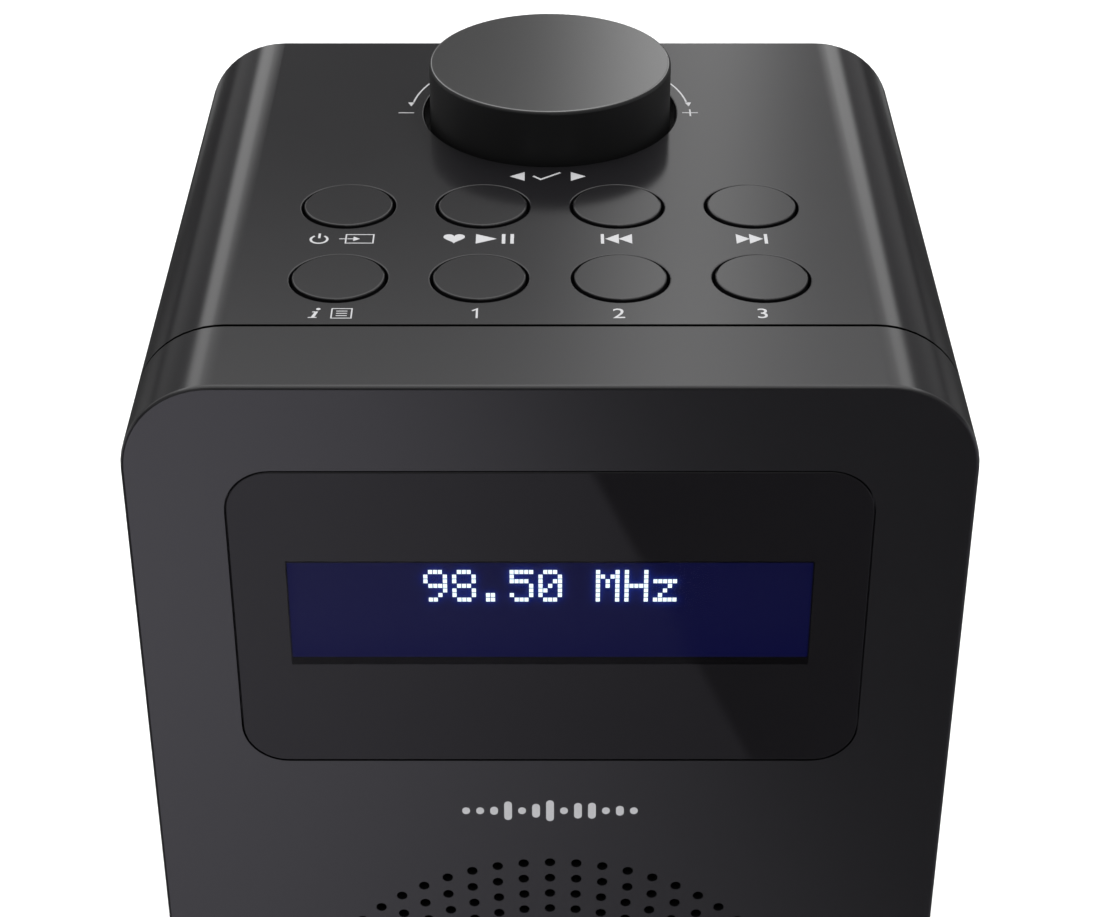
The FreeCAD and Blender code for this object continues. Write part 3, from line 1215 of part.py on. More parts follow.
def antenna_rest():
    """The small shelf under the folded rod."""
    top = ANTENNA_Z - ROD_RADIUS - REST_GAP
    pad = box(around(REST_X, REST_WIDTH), (REAR_FACE_Y, REAR_FACE_Y + REST_PAD_THICK),
              (top - REST_PAD_HEIGHT, top))
    shelf = box(around(REST_X, REST_WIDTH), (REAR_FACE_Y, PIN_Y + 1.0), (top - REST_THICK, top))
    peg = rod_y(REST_PEG_RADIUS, REST_X, rest_pad_z(), (REAR_INSIDE_Y, REAR_FACE_Y + 0.5))
    return joined(pad, [shelf, peg])


def antenna_lead():
    """The wire from the antenna's foot to the radio module."""
    x, y = module_place()
    start_y = RETAINER_Y - WASHER_THICK - BOARD_SCREW_HEAD_HEIGHT - 1.2
    run_x = ANTENNA_X + 13.0
    points = [(ANTENNA_X + 4.0, start_y, ANTENNA_Z - 3.0),
              (run_x, start_y, ANTENNA_Z - 10.0),
              (run_x, start_y, MAIN_TOP_Z + 60.0),
              (run_x, y, MAIN_TOP_Z + 30.0),
              (run_x, y, MAIN_TOP_Z + MODULE_SIZE[2] + CONNECTOR_GAP)]
    return tube(points, ANTENNA_LEAD_RADIUS, LEAD_BEND)


# ---------------------------------------------------------------- every piece by its name
def all_parts():
    """Every piece of the radio, by node name."""
    makers = (front_housing, cabinet_sleeve, rear_cover, rubber_feet, housing_screws, board_screws,
              display_lens, display_mask, lcd_bezel, lcd_glass, lcd_backlight, lcd_board, display_ribbon,
              tact_switches, control_board, encoder_body, encoder_nut, encoder_plunger, encoder_shaft,
              knob, control_ribbon, grille_cloth, speaker_gasket, speaker_basket, speaker_terminal,
              speaker_surround, speaker_cone, speaker_dust_cap, speaker_voice_coil, speaker_top_plate,
              speaker_magnet, speaker_yoke, speaker_screws, speaker_leads, main_board, board_connectors,
              radio_module, amplifier_chip, capacitors, dc_jack, audio_jacks, service_port, antenna_base,
              antenna_retainer, antenna_pin, antenna_elbow, antenna_rest, antenna_lead)
    parts = {maker.__name__: maker() for maker in makers}
    for name, (column, y) in BUTTON_NAMES.items():
        parts[name] = button(column, y)
    for index in range(ROD_SECTIONS):
        parts["antenna_section_%d" % (index + 1)] = antenna_section(index)
    return parts


os.makedirs("parts", exist_ok=True)
for node_name, shape in all_parts().items():
    shape.exportStep("parts/%s.step" % node_name)
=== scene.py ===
"""Looks of the tabletop radio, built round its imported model."""
import logging
import math
from dataclasses import dataclass
from enum import Enum
from typing import Iterable, Sequence, Union

import bmesh
import bpy
from mathutils import Matrix, Vector


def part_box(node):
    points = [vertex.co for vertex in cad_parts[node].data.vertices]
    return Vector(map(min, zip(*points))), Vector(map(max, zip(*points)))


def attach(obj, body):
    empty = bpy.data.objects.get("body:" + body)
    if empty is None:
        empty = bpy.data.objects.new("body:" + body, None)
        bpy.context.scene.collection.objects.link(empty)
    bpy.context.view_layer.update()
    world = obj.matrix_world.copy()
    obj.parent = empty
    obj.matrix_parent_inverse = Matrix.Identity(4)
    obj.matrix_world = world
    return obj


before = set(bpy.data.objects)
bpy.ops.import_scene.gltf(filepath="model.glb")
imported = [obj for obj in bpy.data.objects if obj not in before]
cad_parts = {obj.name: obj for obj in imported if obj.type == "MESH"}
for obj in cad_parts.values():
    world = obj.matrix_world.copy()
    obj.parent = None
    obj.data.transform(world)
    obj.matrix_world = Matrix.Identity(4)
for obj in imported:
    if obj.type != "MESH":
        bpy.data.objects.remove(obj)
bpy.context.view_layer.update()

MM = 0.001
LOG = logging.getLogger("radio")

Colour = tuple[float, float, float]
Scalar = Union[float, "Field"]
Place = tuple[float, float]


# ------------------------------------------------------------------ shader expressions
class Field:
    """A shader socket that answers to arithmetic."""

    def __init__(self, recipe: "Recipe", socket: bpy.types.NodeSocket) -> None:
        """Keep the socket and the recipe that it belongs to."""
        self.recipe = recipe
        self.socket = socket

    def _math(self, operation: str, *values: Scalar) -> "Field":
        """The result of a Math node on numbers or fields."""
        return self.recipe.add("ShaderNodeMath", {"operation": operation}, dict(enumerate(values)))

    def __add__(self, other: Scalar) -> "Field":
        """Sum."""
        return self._math("ADD", self, other)

    def __sub__(self, other: Scalar) -> "Field":
        """Difference."""
        return self._math("SUBTRACT", self, other)

    def __rsub__(self, other: Scalar) -> "Field":
        """Difference from a number."""
        return self._math("SUBTRACT", other, self)

    def __mul__(self, other: Scalar) -> "Field":
        """Product."""
        return self._math("MULTIPLY", self, other)

    def __truediv__(self, other: Scalar) -> "Field":
        """Quotient."""
        return self._math("DIVIDE", self, other)

    def __rtruediv__(self, other: Scalar) -> "Field":
        """Quotient of a number."""
        return self._math("DIVIDE", other, self)

    def __pow__(self, other: Scalar) -> "Field":
        """Power."""
        return self._math("POWER", self, other)

    def __rpow__(self, other: Scalar) -> "Field":
        """Power of a number."""
        return self._math("POWER", other, self)

    __radd__ = __add__
    __rmul__ = __mul__

    def above(self, edge: Scalar) -> "Field":
        """1 where the field is above an edge, 0 elsewhere."""
        return self._math("GREATER_THAN", self, edge)

    def wave(self, length: float) -> "Field":
        """A sine from -1 to 1 with a wavelength."""
        return self._math("SINE", self * (2 * math.pi / length))

    def size(self) -> "Field":
        """The field without its sign."""
        return self._math("ABSOLUTE", self)

    def ramp(self, low: float, high: float) -> "Field":
        """A smooth step from 0 at low to 1 at high.

        Args:
            low: Where the step starts.
            high: Where the step ends; it may be below low.

        Returns:
            The step.
        """
        if high < low:
            return 1 - self.ramp(high, low)
        settings = {"interpolation_type": "SMOOTHSTEP"}
        inputs = {"Value": self, "From Min": low, "From Max": high}
        return self.recipe.add("ShaderNodeMapRange", settings, inputs)


class Recipe:
    """The node tree of one material or of the world."""

    def __init__(self, tree: bpy.types.NodeTree, coordinates: str,
                 made: bpy.types.Material | None = None) -> None:
        """Start a recipe.

        Args:
            tree: The node tree to fill.
            coordinates: The Texture Coordinate output that patterns read.
            made: The material that the tree belongs to, or None for the world's.
        """
        self.tree = tree
        self.made = made
        self.place = self.add("ShaderNodeTexCoord", output=coordinates)

    @classmethod
    def material(cls, name: str) -> "Recipe":
        """Start a new material that reads Object coordinates.

        Args:
            name: The material's name.

        Returns:
            Its recipe.
        """
        material = bpy.data.materials.new(name)
        material.use_nodes = True
        return cls(material.node_tree, "Object", material)

    def add(self, kind: str, settings: dict | None = None, inputs: dict | None = None,
            output: int | str = 0) -> Field:
        """Add a node.

        Args:
            kind: The node's type.
            settings: Its properties, which are set first.
            inputs: Values or fields by socket name or number.
            output: The output to return.

        Returns:
            The output as a field.
        """
        node = self.tree.nodes.new(kind)
        for key, value in (settings or {}).items():
            setattr(node, key, value)
        for key, value in (inputs or {}).items():
            if isinstance(value, Field):
                self.tree.links.new(value.socket, node.inputs[key])
            else:
                node.inputs[key].default_value = value
        return Field(self, node.outputs[output])

    def axes(self, centre: Sequence[float] = (0.0, 0.0, 0.0)) -> tuple[Field, Field, Field]:
        """The coordinates from a centre as three fields."""
        shift = self.add("ShaderNodeVectorMath", {"operation": "SUBTRACT"}, {0: self.place, 1: tuple(centre)})
        return tuple(self.add("ShaderNodeSeparateXYZ", inputs={0: shift}, output=axis) for axis in "XYZ")

    def noise(self, grain: float, detail: float = 2.0, stretch: Sequence[float] = (1.0, 1.0, 1.0)) -> Field:
        """Soft noise.

        Args:
            grain: The size of its lumps, in metres.
            detail: Its octaves.
            stretch: How much longer the lumps are along X, Y and Z.

        Returns:
            A field from 0 to 1.
        """
        scale = tuple(1 / (grain * factor) for factor in stretch)
        inputs = {"Vector": self.place, "Scale": scale}
        place = self.add("ShaderNodeMapping", {"vector_type": "POINT"}, inputs)
        return self.add("ShaderNodeTexNoise", None, {"Vector": place, "Scale": 1.0, "Detail": detail})

    def mixed(self, factor: Scalar, first: Union[Colour, Field], second: Union[Colour, Field]) -> Field:
        """A colour between two colours."""
        ends = [value if isinstance(value, Field) else (*value, 1.0) for value in (first, second)]
        return self.add("ShaderNodeMix", {"data_type": "RGBA"}, {0: factor, 6: ends[0], 7: ends[1]}, 2)

    def bump(self, height: Field, depth: float) -> Field:
        """A normal bumped by a relief from 0 to 1, whose depth is in metres."""
        return self.add("ShaderNodeBump", None, {"Height": height, "Distance": depth, "Strength": 1.0})

    def finish(self, **sockets: Union[Scalar, Colour]) -> bpy.types.Material:
        """Set the Principled shader's sockets.

        Args:
            sockets: Values by socket name, with _ for a space.

        Returns:
            The material.
        """
        shader = self.tree.nodes["Principled BSDF"]
        for key, value in sockets.items():
            socket = shader.inputs[key.replace("_", " ").replace("Ior", "IOR")]
            if isinstance(value, Field):
                self.tree.links.new(value.socket, socket)
            elif isinstance(value, tuple):
                socket.default_value = (*value, 1.0)
            else:
                socket.default_value = value
        return self.made


# ------------------------------------------------------------------ finishes
@dataclass(frozen=True)
class Moulded:
    """Moulded plastic with a fine eroded skin.

    A shadow may lie along a seam, given by its Y, or along the back of a round rim, given by X, Y and
    radius. Each shadow's two widths say where it starts and where it is full.
    """

    name: str
    colour: Colour
    roughness: float = 0.16
    grain: float = 0.14 * MM
    depth: float = 0.0008 * MM
    drift: float = 0.06
    specular: float = 0.9
    seam: float | None = None
    seam_shadow: Place = (0.31 * MM, 0.23 * MM)
    rim: tuple[float, float, float] | None = None
    rim_shadow: Place = (0.3 * MM, 0.2 * MM)
    rim_fade: float = 2 * MM
    shadow_roughness: float = 0.8

    def make(self) -> bpy.types.Material:
        """Make the material.

        Returns:
            The material.
        """
        recipe = Recipe.material(self.name)
        cloud = recipe.noise(30 * MM, 3.0)
        speck = recipe.noise(self.grain, 1.0)
        dark = tuple(channel * (1 - self.drift) for channel in self.colour)
        light = tuple(channel * (1 + self.drift) for channel in self.colour)
        tone = recipe.mixed(cloud * 0.7 + speck * 0.3, dark, light)
        rough = self.roughness + (cloud - 0.5) * 0.03 + (speck - 0.5) * 0.05
        shade = None
        if self.seam is not None:
            _, y, _ = recipe.axes((0.0, self.seam, 0.0))
            shade = y.size().ramp(*self.seam_shadow)
        if self.rim is not None:
            x, y, _ = recipe.axes((*self.rim[:2], 0.0))
            radius = (x * x + y * y) ** 0.5
            start, full = (self.rim[2] - width for width in self.rim_shadow)
            shade = radius.ramp(start, full) * y.ramp(0.0, self.rim_fade)
        if shade is not None:
            tone = recipe.mixed(shade, tone, (0.0, 0.0, 0.0))
            rough = rough + shade * self.shadow_roughness
            recipe.finish(Metallic=shade)
        return recipe.finish(Base_Color=tone, Roughness=rough, Normal=recipe.bump(speck, self.depth),
                             Specular_Ior_Level=self.specular)


@dataclass(frozen=True)
class Spun:
    """A round plastic part whose top is turned in fine rings."""

    name: str
    colour: Colour
    centre: Sequence[float]
    face_z: float
    pitch: float = 0.11 * MM
    side_roughness: float = 0.5
    face_polish: float = 0.36
    coat_roughness: float = 0.18
    coat_ior: float = 2.2

    def make(self) -> bpy.types.Material:
        """Make the material.

        Returns:
            The material.
        """
        recipe = Recipe.material(self.name)
        x, y, z = recipe.axes((*self.centre[:2], self.face_z))
        radius = (x * x + y * y) ** 0.5
        rings = recipe.add("ShaderNodeTexNoise", {"noise_dimensions": "1D"},
                           {"W": radius, "Scale": 1 / self.pitch, "Detail": 2.0})
        on_face = z.above(-0.05 * MM)
        speck = recipe.noise(0.14 * MM, 1.0)
        cloud = recipe.noise(9 * MM, 2.0)
        shade = rings * on_face + speck * (1 - on_face)
        face = recipe.mixed(rings, self.colour, tuple(channel * 1.1 for channel in self.colour))
        side = recipe.mixed(cloud, self.colour, tuple(channel * 1.4 for channel in self.colour))
        rough = self.side_roughness - on_face * self.face_polish + shade * 0.05
        return recipe.finish(Base_Color=recipe.mixed(on_face, side, face), Roughness=rough,
                             Normal=recipe.bump(shade, 0.0005 * MM), Specular_Ior_Level=0.5,
                             Coat_Weight=on_face, Coat_Roughness=self.coat_roughness,
                             Coat_Ior=self.coat_ior)


@dataclass(frozen=True)
class Acrylic:
    """Polished sheet, inked black all over but for a clear view.

    The view's centre lies on the sheet's front face, where a thin film covers a share of it.
    """

    name: str
    centre: Sequence[float]
    view: Place
    colour: Colour = (0.0076, 0.0071, 0.0082)
    film: float = 0.35
    film_depth: Place = (0.6 * MM, 0.3 * MM)
    margin: float = 0.05 * MM

    def make(self) -> bpy.types.Material:
        """Make the material.

        Returns:
            The material.
        """
        recipe = Recipe.material(self.name)
        smear = recipe.noise(22 * MM, 3.0)
        x, y, z = recipe.axes(self.centre)
        across = x.size().ramp(self.view[0] / 2 + self.margin, self.view[0] / 2 - self.margin)
        clear = across * z.size().ramp(self.view[1] / 2 + self.margin, self.view[1] / 2 - self.margin)
        glaze = y.ramp(*self.film_depth) * self.film
        pale = tuple(channel * 1.3 for channel in self.colour)
        tone = recipe.mixed(smear, self.colour, pale)
        return recipe.finish(Base_Color=tone, Roughness=0.015 + smear * 0.01,
                             Alpha=1 - clear * (1 - glaze), Specular_Ior_Level=0.36)


@dataclass(frozen=True)
class Printed:
    """Ink or lacquer, flat and even."""

    name: str
    colour: Colour
    roughness: float = 0.45
    glow: float = 0.0
    specular: float = 0.5

    def make(self) -> bpy.types.Material:
        """Make the material.

        Returns:
            The material.
        """
        recipe = Recipe.material(self.name)
        mesh = recipe.noise(0.09 * MM, 1.0)
        worn = recipe.noise(3 * MM, 3.0)
        dim = tuple(channel * 0.9 for channel in self.colour)
        tone = recipe.mixed(mesh * 0.5 + worn * 0.5, dim, self.colour)
        sockets = {"Base_Color": tone, "Roughness": self.roughness * (0.9 + worn * 0.2),
                   "Normal": recipe.bump(mesh, 0.0004 * MM), "Specular_Ior_Level": self.specular}
        if self.glow:
            sockets.update(Emission_Color=tone, Emission_Strength=self.glow)
        return recipe.finish(**sockets)


@dataclass(frozen=True)
class Metal:
    """Bare, plated or painted metal with a direction of grain."""

    name: str
    colour: Colour
    roughness: float = 0.25
    metallic: float = 1.0
    grain: float = 0.12 * MM
    stretch: Sequence[float] = (1.0, 1.0, 1.0)
    depth: float = 0.0006 * MM

    def make(self) -> bpy.types.Material:
        """Make the material.

        Returns:
            The material.
        """
        recipe = Recipe.material(self.name)
        line = recipe.noise(self.grain, 2.0, self.stretch)
        stain = recipe.noise(6 * MM, 3.0)
        dull = tuple(channel * 0.86 for channel in self.colour)
        tone = recipe.mixed(line * 0.5 + stain * 0.5, dull, self.colour)
        rough = self.roughness + (line - 0.5) * 0.1 + (stain - 0.5) * 0.06
        return recipe.finish(Base_Color=tone, Metallic=self.metallic, Roughness=rough,
                             Normal=recipe.bump(line, self.depth))


@dataclass(frozen=True)
class Soft:
    """Rubber, foam or pressed paper: matt, with lumps of one size."""

    name: str
    colour: Colour
    lump: float
    depth: float
    roughness: float = 0.85

    def make(self) -> bpy.types.Material:
        """Make the material.

        Returns:
            The material.
        """
        recipe = Recipe.material(self.name)
        cells = recipe.add("ShaderNodeTexVoronoi", None, {"Vector": recipe.place, "Scale": 1 / self.lump})
        dust = recipe.noise(4 * MM, 3.0)
        pale = tuple(channel * 1.5 + 0.004 for channel in self.colour)
        tone = recipe.mixed(cells * 0.4 + dust * 0.4, self.colour, pale)
        return recipe.finish(Base_Color=tone, Roughness=self.roughness + (dust - 0.5) * 0.1,
                             Normal=recipe.bump(cells, self.depth))


@dataclass(frozen=True)
class Woven:
    """Plain-woven speaker cloth, its threads along X and Z."""

    name: str
    colour: Colour
    thread: float = 0.28 * MM

    def make(self) -> bpy.types.Material:
        """Make the material.

        Returns:
            The material.
        """
        recipe = Recipe.material(self.name)
        x, _, z = recipe.axes()
        over = x.wave(self.thread) * z.wave(self.thread)
        relief = over * 0.5 + 0.5
        tone = recipe.mixed(relief, self.colour, tuple(channel * 2.2 for channel in self.colour))
        return recipe.finish(Base_Color=tone, Roughness=0.9 - relief * 0.1,
                             Normal=recipe.bump(relief, 0.03 * MM))


@dataclass(frozen=True)
class Board:
    """A lacquered circuit board with tracks under the lacquer."""

    name: str
    lacquer: Colour = (0.012, 0.075, 0.03)
    track: Colour = (0.03, 0.16, 0.06)
    pitch: float = 1.27 * MM

    def make(self) -> bpy.types.Material:
        """Make the material.

        Returns:
            The material.
        """
        recipe = Recipe.material(self.name)
        x, y, z = recipe.axes()
        route = recipe.noise(7 * MM, 1.0)
        lanes = (x + (y + z) * 0.5 + route * (6 * MM)).wave(self.pitch)
        tracks = lanes.ramp(0.1, 0.35)
        tone = recipe.mixed(tracks, self.lacquer, self.track)
        return recipe.finish(Base_Color=tone, Roughness=0.28 + tracks * 0.08,
                             Normal=recipe.bump(tracks, 0.03 * MM))


@dataclass(frozen=True)
class Striped:
    """A flat cable with one stripe per conductor, side by side along X."""

    name: str
    first: Colour
    second: Colour
    pitch: float = 1.0 * MM

    def make(self) -> bpy.types.Material:
        """Make the material.

        Returns:
            The material.
        """
        recipe = Recipe.material(self.name)
        x, _, _ = recipe.axes()
        stripes = x.wave(self.pitch).ramp(-0.3, 0.3)
        return recipe.finish(Base_Color=recipe.mixed(stripes, self.first, self.second),
                             Roughness=0.5 - stripes * 0.12, Normal=recipe.bump(stripes, 0.12 * MM))


@dataclass(frozen=True)
class Backlit:
    """The lit face of the display: its light comes from the face's own colour attribute."""

    name: str
    attribute: str
    strength: float

    def make(self) -> bpy.types.Material:
        """Make the material.

        Returns:
            The material.
        """
        recipe = Recipe.material(self.name)
        light = recipe.add("ShaderNodeAttribute", {"attribute_name": self.attribute}, output="Color")
        haze = recipe.noise(5 * MM, 2.0)
        return recipe.finish(Base_Color=recipe.mixed(haze, (0.001, 0.001, 0.004), (0.0015, 0.0015, 0.006)),
                             Roughness=0.32 + haze * 0.05, Emission_Color=light,
                             Emission_Strength=self.strength, Specular_Ior_Level=0.1)


# ------------------------------------------------------------------ mesh work
class Shape:
    """A bmesh that becomes one finished piece."""

    def __init__(self) -> None:
        """Start an empty shape."""
        self.mesh = bmesh.new()

    def disc(self, radius: float, at: Sequence[float] = (0.0, 0.0), segments: int = 32) -> None:
        """Add a flat disc in the XY plane."""
        turn = Matrix.Translation((*at, 0.0))
        bmesh.ops.create_circle(self.mesh, cap_ends=True, radius=radius, segments=segments, matrix=turn)

    def bar(self, size: Place, at: Place = (0.0, 0.0), angle: float = 0.0) -> None:
        """Add a flat rectangle in the XY plane.

        Args:
            size: Its length and width.
            at: Its middle.
            angle: Its turn, in degrees.
        """
        place = Matrix.Translation((*at, 0.0)) @ Matrix.Rotation(math.radians(angle), 4, "Z")
        scale = Matrix.Diagonal((size[0] / 2, size[1] / 2, 1.0, 1.0))
        bmesh.ops.create_grid(self.mesh, x_segments=1, y_segments=1, size=1.0, matrix=place @ scale)

    def capsule(self, width: float, height: float, at: Place) -> None:
        """Add an upright bar with round ends.

        Args:
            width: Its width.
            height: Its height over both ends.
            at: Its middle.
        """
        points = []
        for side in (1, -1):
            for step in range(9):
                turn = math.pi * step / 8
                points.append((at[0] + side * math.cos(turn) * width / 2,
                               at[1] + side * (math.sin(turn) * width + height - width) / 2))
        self.polygon(points)

    def stroke(self, points: Sequence[Place], width: float) -> None:
        """Add a bent line of one width with pointed corners.

        Args:
            points: Its middle line, turning less than a right angle and a half at each corner.
            width: Its width.
        """
        line = [Vector(point) for point in points]
        left, right = [], []
        for index, point in enumerate(line):
            before = (point - line[max(index - 1, 0)]).normalized()
            after = (line[min(index + 1, len(line) - 1)] - point).normalized()
            run = (before + after).normalized()
            across = Vector((-run.y, run.x)) * (width / 2)
            if 0 < index < len(line) - 1:
                across /= run.dot(after)
            left.append(point + across)
            right.append(point - across)
        self.polygon([tuple(point) for point in left + right[::-1]])

    def polygon(self, points: Iterable[Place]) -> None:
        """Add one flat face in the XY plane from its outline."""
        self.mesh.faces.new([self.mesh.verts.new((x, y, 0.0)) for x, y in points])

    def arc(self, radius: float, width: float, span: tuple[float, float], at: Place = (0.0, 0.0),
            steps: int = 32) -> None:
        """Add a flat ring or a part of one.

        Args:
            radius: The middle radius.
            width: The stroke's width.
            span: Its first and last angle, in degrees from +X.
            at: Its centre.
            steps: Its number of faces.
        """
        start = math.radians(span[0])
        sweep = math.radians(span[1] - span[0])
        aim = Vector((math.cos(start), math.sin(start), 0.0))
        centre = Vector((*at, 0.0))
        ends = [self.mesh.verts.new(centre + aim * (radius + side * width / 2)) for side in (-1, 1)]
        edge = self.mesh.edges.new(ends)
        full = abs(span[1] - span[0]) >= 360
        bmesh.ops.spin(self.mesh, geom=[*ends, edge], cent=centre, axis=(0, 0, 1), angle=sweep,
                       steps=steps, use_merge=full, use_normal_flip=False)

    def frame(self, size: Place, width: float, at: Place = (0.0, 0.0)) -> None:
        """Add a rectangular outline.

        Args:
            size: Its outer length and width.
            width: Its stroke's width.
            at: Its middle.
        """
        across, up = size[0] / 2 - width / 2, size[1] / 2 - width / 2
        for side in (-1, 1):
            self.bar((size[0], width), (at[0], at[1] + side * up))
            self.bar((width, size[1] - 2 * width), (at[0] + side * across, at[1]))

    def letter(self, text: str, height: float) -> None:
        """Add a figure of the plain built-in face, centred.

        Args:
            text: The figure.
            height: Its height.
        """
        curve = bpy.data.curves.new("figure", "FONT")
        curve.body = text
        curve.resolution_u = 6
        holder = bpy.data.objects.new("figure", curve)
        flat = bpy.data.meshes.new_from_object(holder)
        bpy.data.objects.remove(holder)
        points = [vertex.co for vertex in flat.vertices]
        low = Vector(min(point[axis] for point in points) for axis in range(3))
        high = Vector(max(point[axis] for point in points) for axis in range(3))
        scale = height / (high.y - low.y)
        flat.transform(Matrix.Scale(scale, 4) @ Matrix.Translation(-(low + high) / 2))
        self.mesh.from_mesh(flat)
        bpy.data.meshes.remove(flat)

    def lathe(self, profile: Iterable[Place], segments: int = 64) -> None:
        """Turn an outline about Z.

        Args:
            profile: Points as radius and height; a closed outline repeats its first point.
            segments: The number of steps round the axis.
        """
        verts = [self.mesh.verts.new((radius, 0.0, height)) for radius, height in profile]
        edges = [self.mesh.edges.new(pair) for pair in zip(verts, verts[1:])]
        bmesh.ops.spin(self.mesh, geom=[*verts, *edges], cent=(0, 0, 0), axis=(0, 0, 1),
                       angle=2 * math.pi, steps=segments, use_merge=True)
        bmesh.ops.remove_doubles(self.mesh, verts=self.mesh.verts, dist=1e-7)
        bmesh.ops.recalc_face_normals(self.mesh, faces=self.mesh.faces)

    def raise_flat(self, thickness: float) -> None:
        """Give the flat shape its thickness, upwards.

        Args:
            thickness: The thickness.
        """
        bmesh.ops.remove_doubles(self.mesh, verts=self.mesh.verts, dist=1e-7)
        for face in self.mesh.faces:
            if face.normal.z < 0:
                face.normal_flip()
        result = bmesh.ops.extrude_face_region(self.mesh, geom=self.mesh.faces[:], use_keep_orig=True)
        raised = [item for item in result["geom"] if isinstance(item, bmesh.types.BMVert)]
        bmesh.ops.translate(self.mesh, verts=raised, vec=(0, 0, thickness))
        bmesh.ops.recalc_face_normals(self.mesh, faces=self.mesh.faces)

    def piece(self, name: str, finish: bpy.types.Material, body: str, slot: str,
              place: Matrix = Matrix.Identity(4), smooth: bool = False) -> bpy.types.Object:
        """Turn the shape into an object that rides on a body.

        Args:
            name: The piece's name.
            finish: Its material.
            body: The body it rides on.
            slot: The record's material slot; not used.
            place: Where the shape's own axes lie.
            smooth: Whether its faces are shaded smooth.

        Returns:
            The object, at the origin with its place in its mesh.
        """
        bmesh.ops.transform(self.mesh, matrix=place, verts=self.mesh.verts)
        data = bpy.data.meshes.new(name)
        self.mesh.to_mesh(data)
        self.mesh.free()
        data.polygons.foreach_set("use_smooth", [smooth] * len(data.polygons))
        data.materials.append(finish)
        piece = bpy.data.objects.new(name, data)
        bpy.context.scene.collection.objects.link(piece)
        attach(piece, body)
        LOG.info("%s: %d faces on %s", name, len(data.polygons), body)
        return piece


def dress(material: bpy.types.Material, nodes: Iterable[str]) -> None:
    """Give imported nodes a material.

    Args:
        material: The finish.
        nodes: The nodes' names.
    """
    for name in nodes:
        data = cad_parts[name].data
        data.materials.clear()
        data.materials.append(material)
        LOG.info("%s: dressed in %s", name, material.name)


def facing_up(x: float, y: float, z: float) -> Matrix:
    """The place of a flat shape that lies on a face turned up."""
    return Matrix.Translation((x, y, z))


def facing_front(x: float, y: float, z: float) -> Matrix:
    """The place of a flat shape on a face turned to the front."""
    return Matrix.Translation((x, y, z)) @ Matrix.Rotation(math.pi / 2, 4, "X")


def facing_back(x: float, y: float, z: float) -> Matrix:
    """The place of a flat shape on a face turned to the back."""
    turn = Matrix.Rotation(math.pi, 4, "Z")
    return Matrix.Translation((x, y, z)) @ turn @ Matrix.Rotation(math.pi / 2, 4, "X")


# ------------------------------------------------------------------ the cabinet
@dataclass
class Cabinet:
    """The housing, rear cover, feet and screws."""

    mark_width: float = 23.6 * MM
    mark_height: float = 3.8 * MM
    mark_drop: float = 64.4 * MM
    mark_bars: int = 13
    bar_share: float = 0.56
    lowest_bar: float = 0.3
    seam_back: float = 14.3 * MM
    label: Place = (40.0 * MM, 20.0 * MM)
    label_rise: float = 62.0 * MM
    ink: float = 0.02 * MM

    def build(self, finish: bpy.types.Material) -> None:
        """Build the plain wave mark under the window and the blank label on the back.

        Args:
            finish: The mark's ink.
        """
        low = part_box("front_housing")[0]
        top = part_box("cabinet_sleeve")[1].z
        shape = Shape()
        step = self.mark_width / self.mark_bars
        for index in range(self.mark_bars):
            share = index / (self.mark_bars - 1)
            swell = math.sin(math.pi * share) ** 0.5 * (0.62 + 0.38 * math.cos(index * 2.2))
            height = self.mark_height * max(self.lowest_bar, swell)
            x = (index + 0.5) * step - self.mark_width / 2
            shape.capsule(step * self.bar_share, height, (x, 0.0))
        shape.raise_flat(self.ink)
        shape.piece("wave_mark", finish, "root", "mask_ink", facing_front(0.0, low.y, top - self.mark_drop))
        paper = Printed("label_paper", (0.03, 0.03, 0.031), roughness=0.5).make()
        shape = Shape()
        shape.bar(self.label)
        shape.raise_flat(self.ink)
        shape.piece("blank_label", paper, "root", "mask_ink",
                    facing_back(0.0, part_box("rear_cover")[1].y, self.label_rise))

    def dress(self) -> None:
        """Dress the cabinet's nodes."""
        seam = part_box("front_housing")[0].y + self.seam_back
        graphite = (0.0078, 0.0075, 0.0085)
        front = Moulded("graphite_front", graphite, roughness=0.19, seam=seam).make()
        sleeve = Moulded("graphite_sleeve", graphite, roughness=0.15, seam=seam).make()
        cover = Moulded("black_cover", (0.017, 0.017, 0.0175), roughness=0.42, grain=0.3 * MM,
                        depth=0.01 * MM, specular=0.5).make()
        rubber = Soft("foot_rubber", (0.012, 0.012, 0.012), lump=0.5 * MM, depth=0.02 * MM).make()
        plated = Metal("zinc_plate", (0.55, 0.55, 0.56), roughness=0.3).make()
        dress(front, ("front_housing",))
        dress(sleeve, ("cabinet_sleeve",))
        dress(cover, ("rear_cover", "antenna_rest"))
        dress(rubber, ("rubber_feet",))
        dress(plated, ("housing_screws", "board_screws", "speaker_screws", "encoder_nut", "encoder_shaft",
                       "antenna_retainer"))


# ------------------------------------------------------------------ the printed legends
class Legend(Enum):
    """The symbols printed on the top, each a function's usual sign."""

    POWER = "power"
    SOURCE = "source"
    FAVOURITE = "favourite"
    PLAY_PAUSE = "play_pause"
    PREVIOUS = "previous"
    NEXT = "next"
    INFORMATION = "information"
    MENU = "menu"
    ONE = "1"
    TWO = "2"
    THREE = "3"
    LEFT = "left"
    SELECT = "select"
    RIGHT = "right"
    MINUS = "minus"
    PLUS = "plus"
    TURN_DOWN = "turn_down"
    TURN_UP = "turn_up"


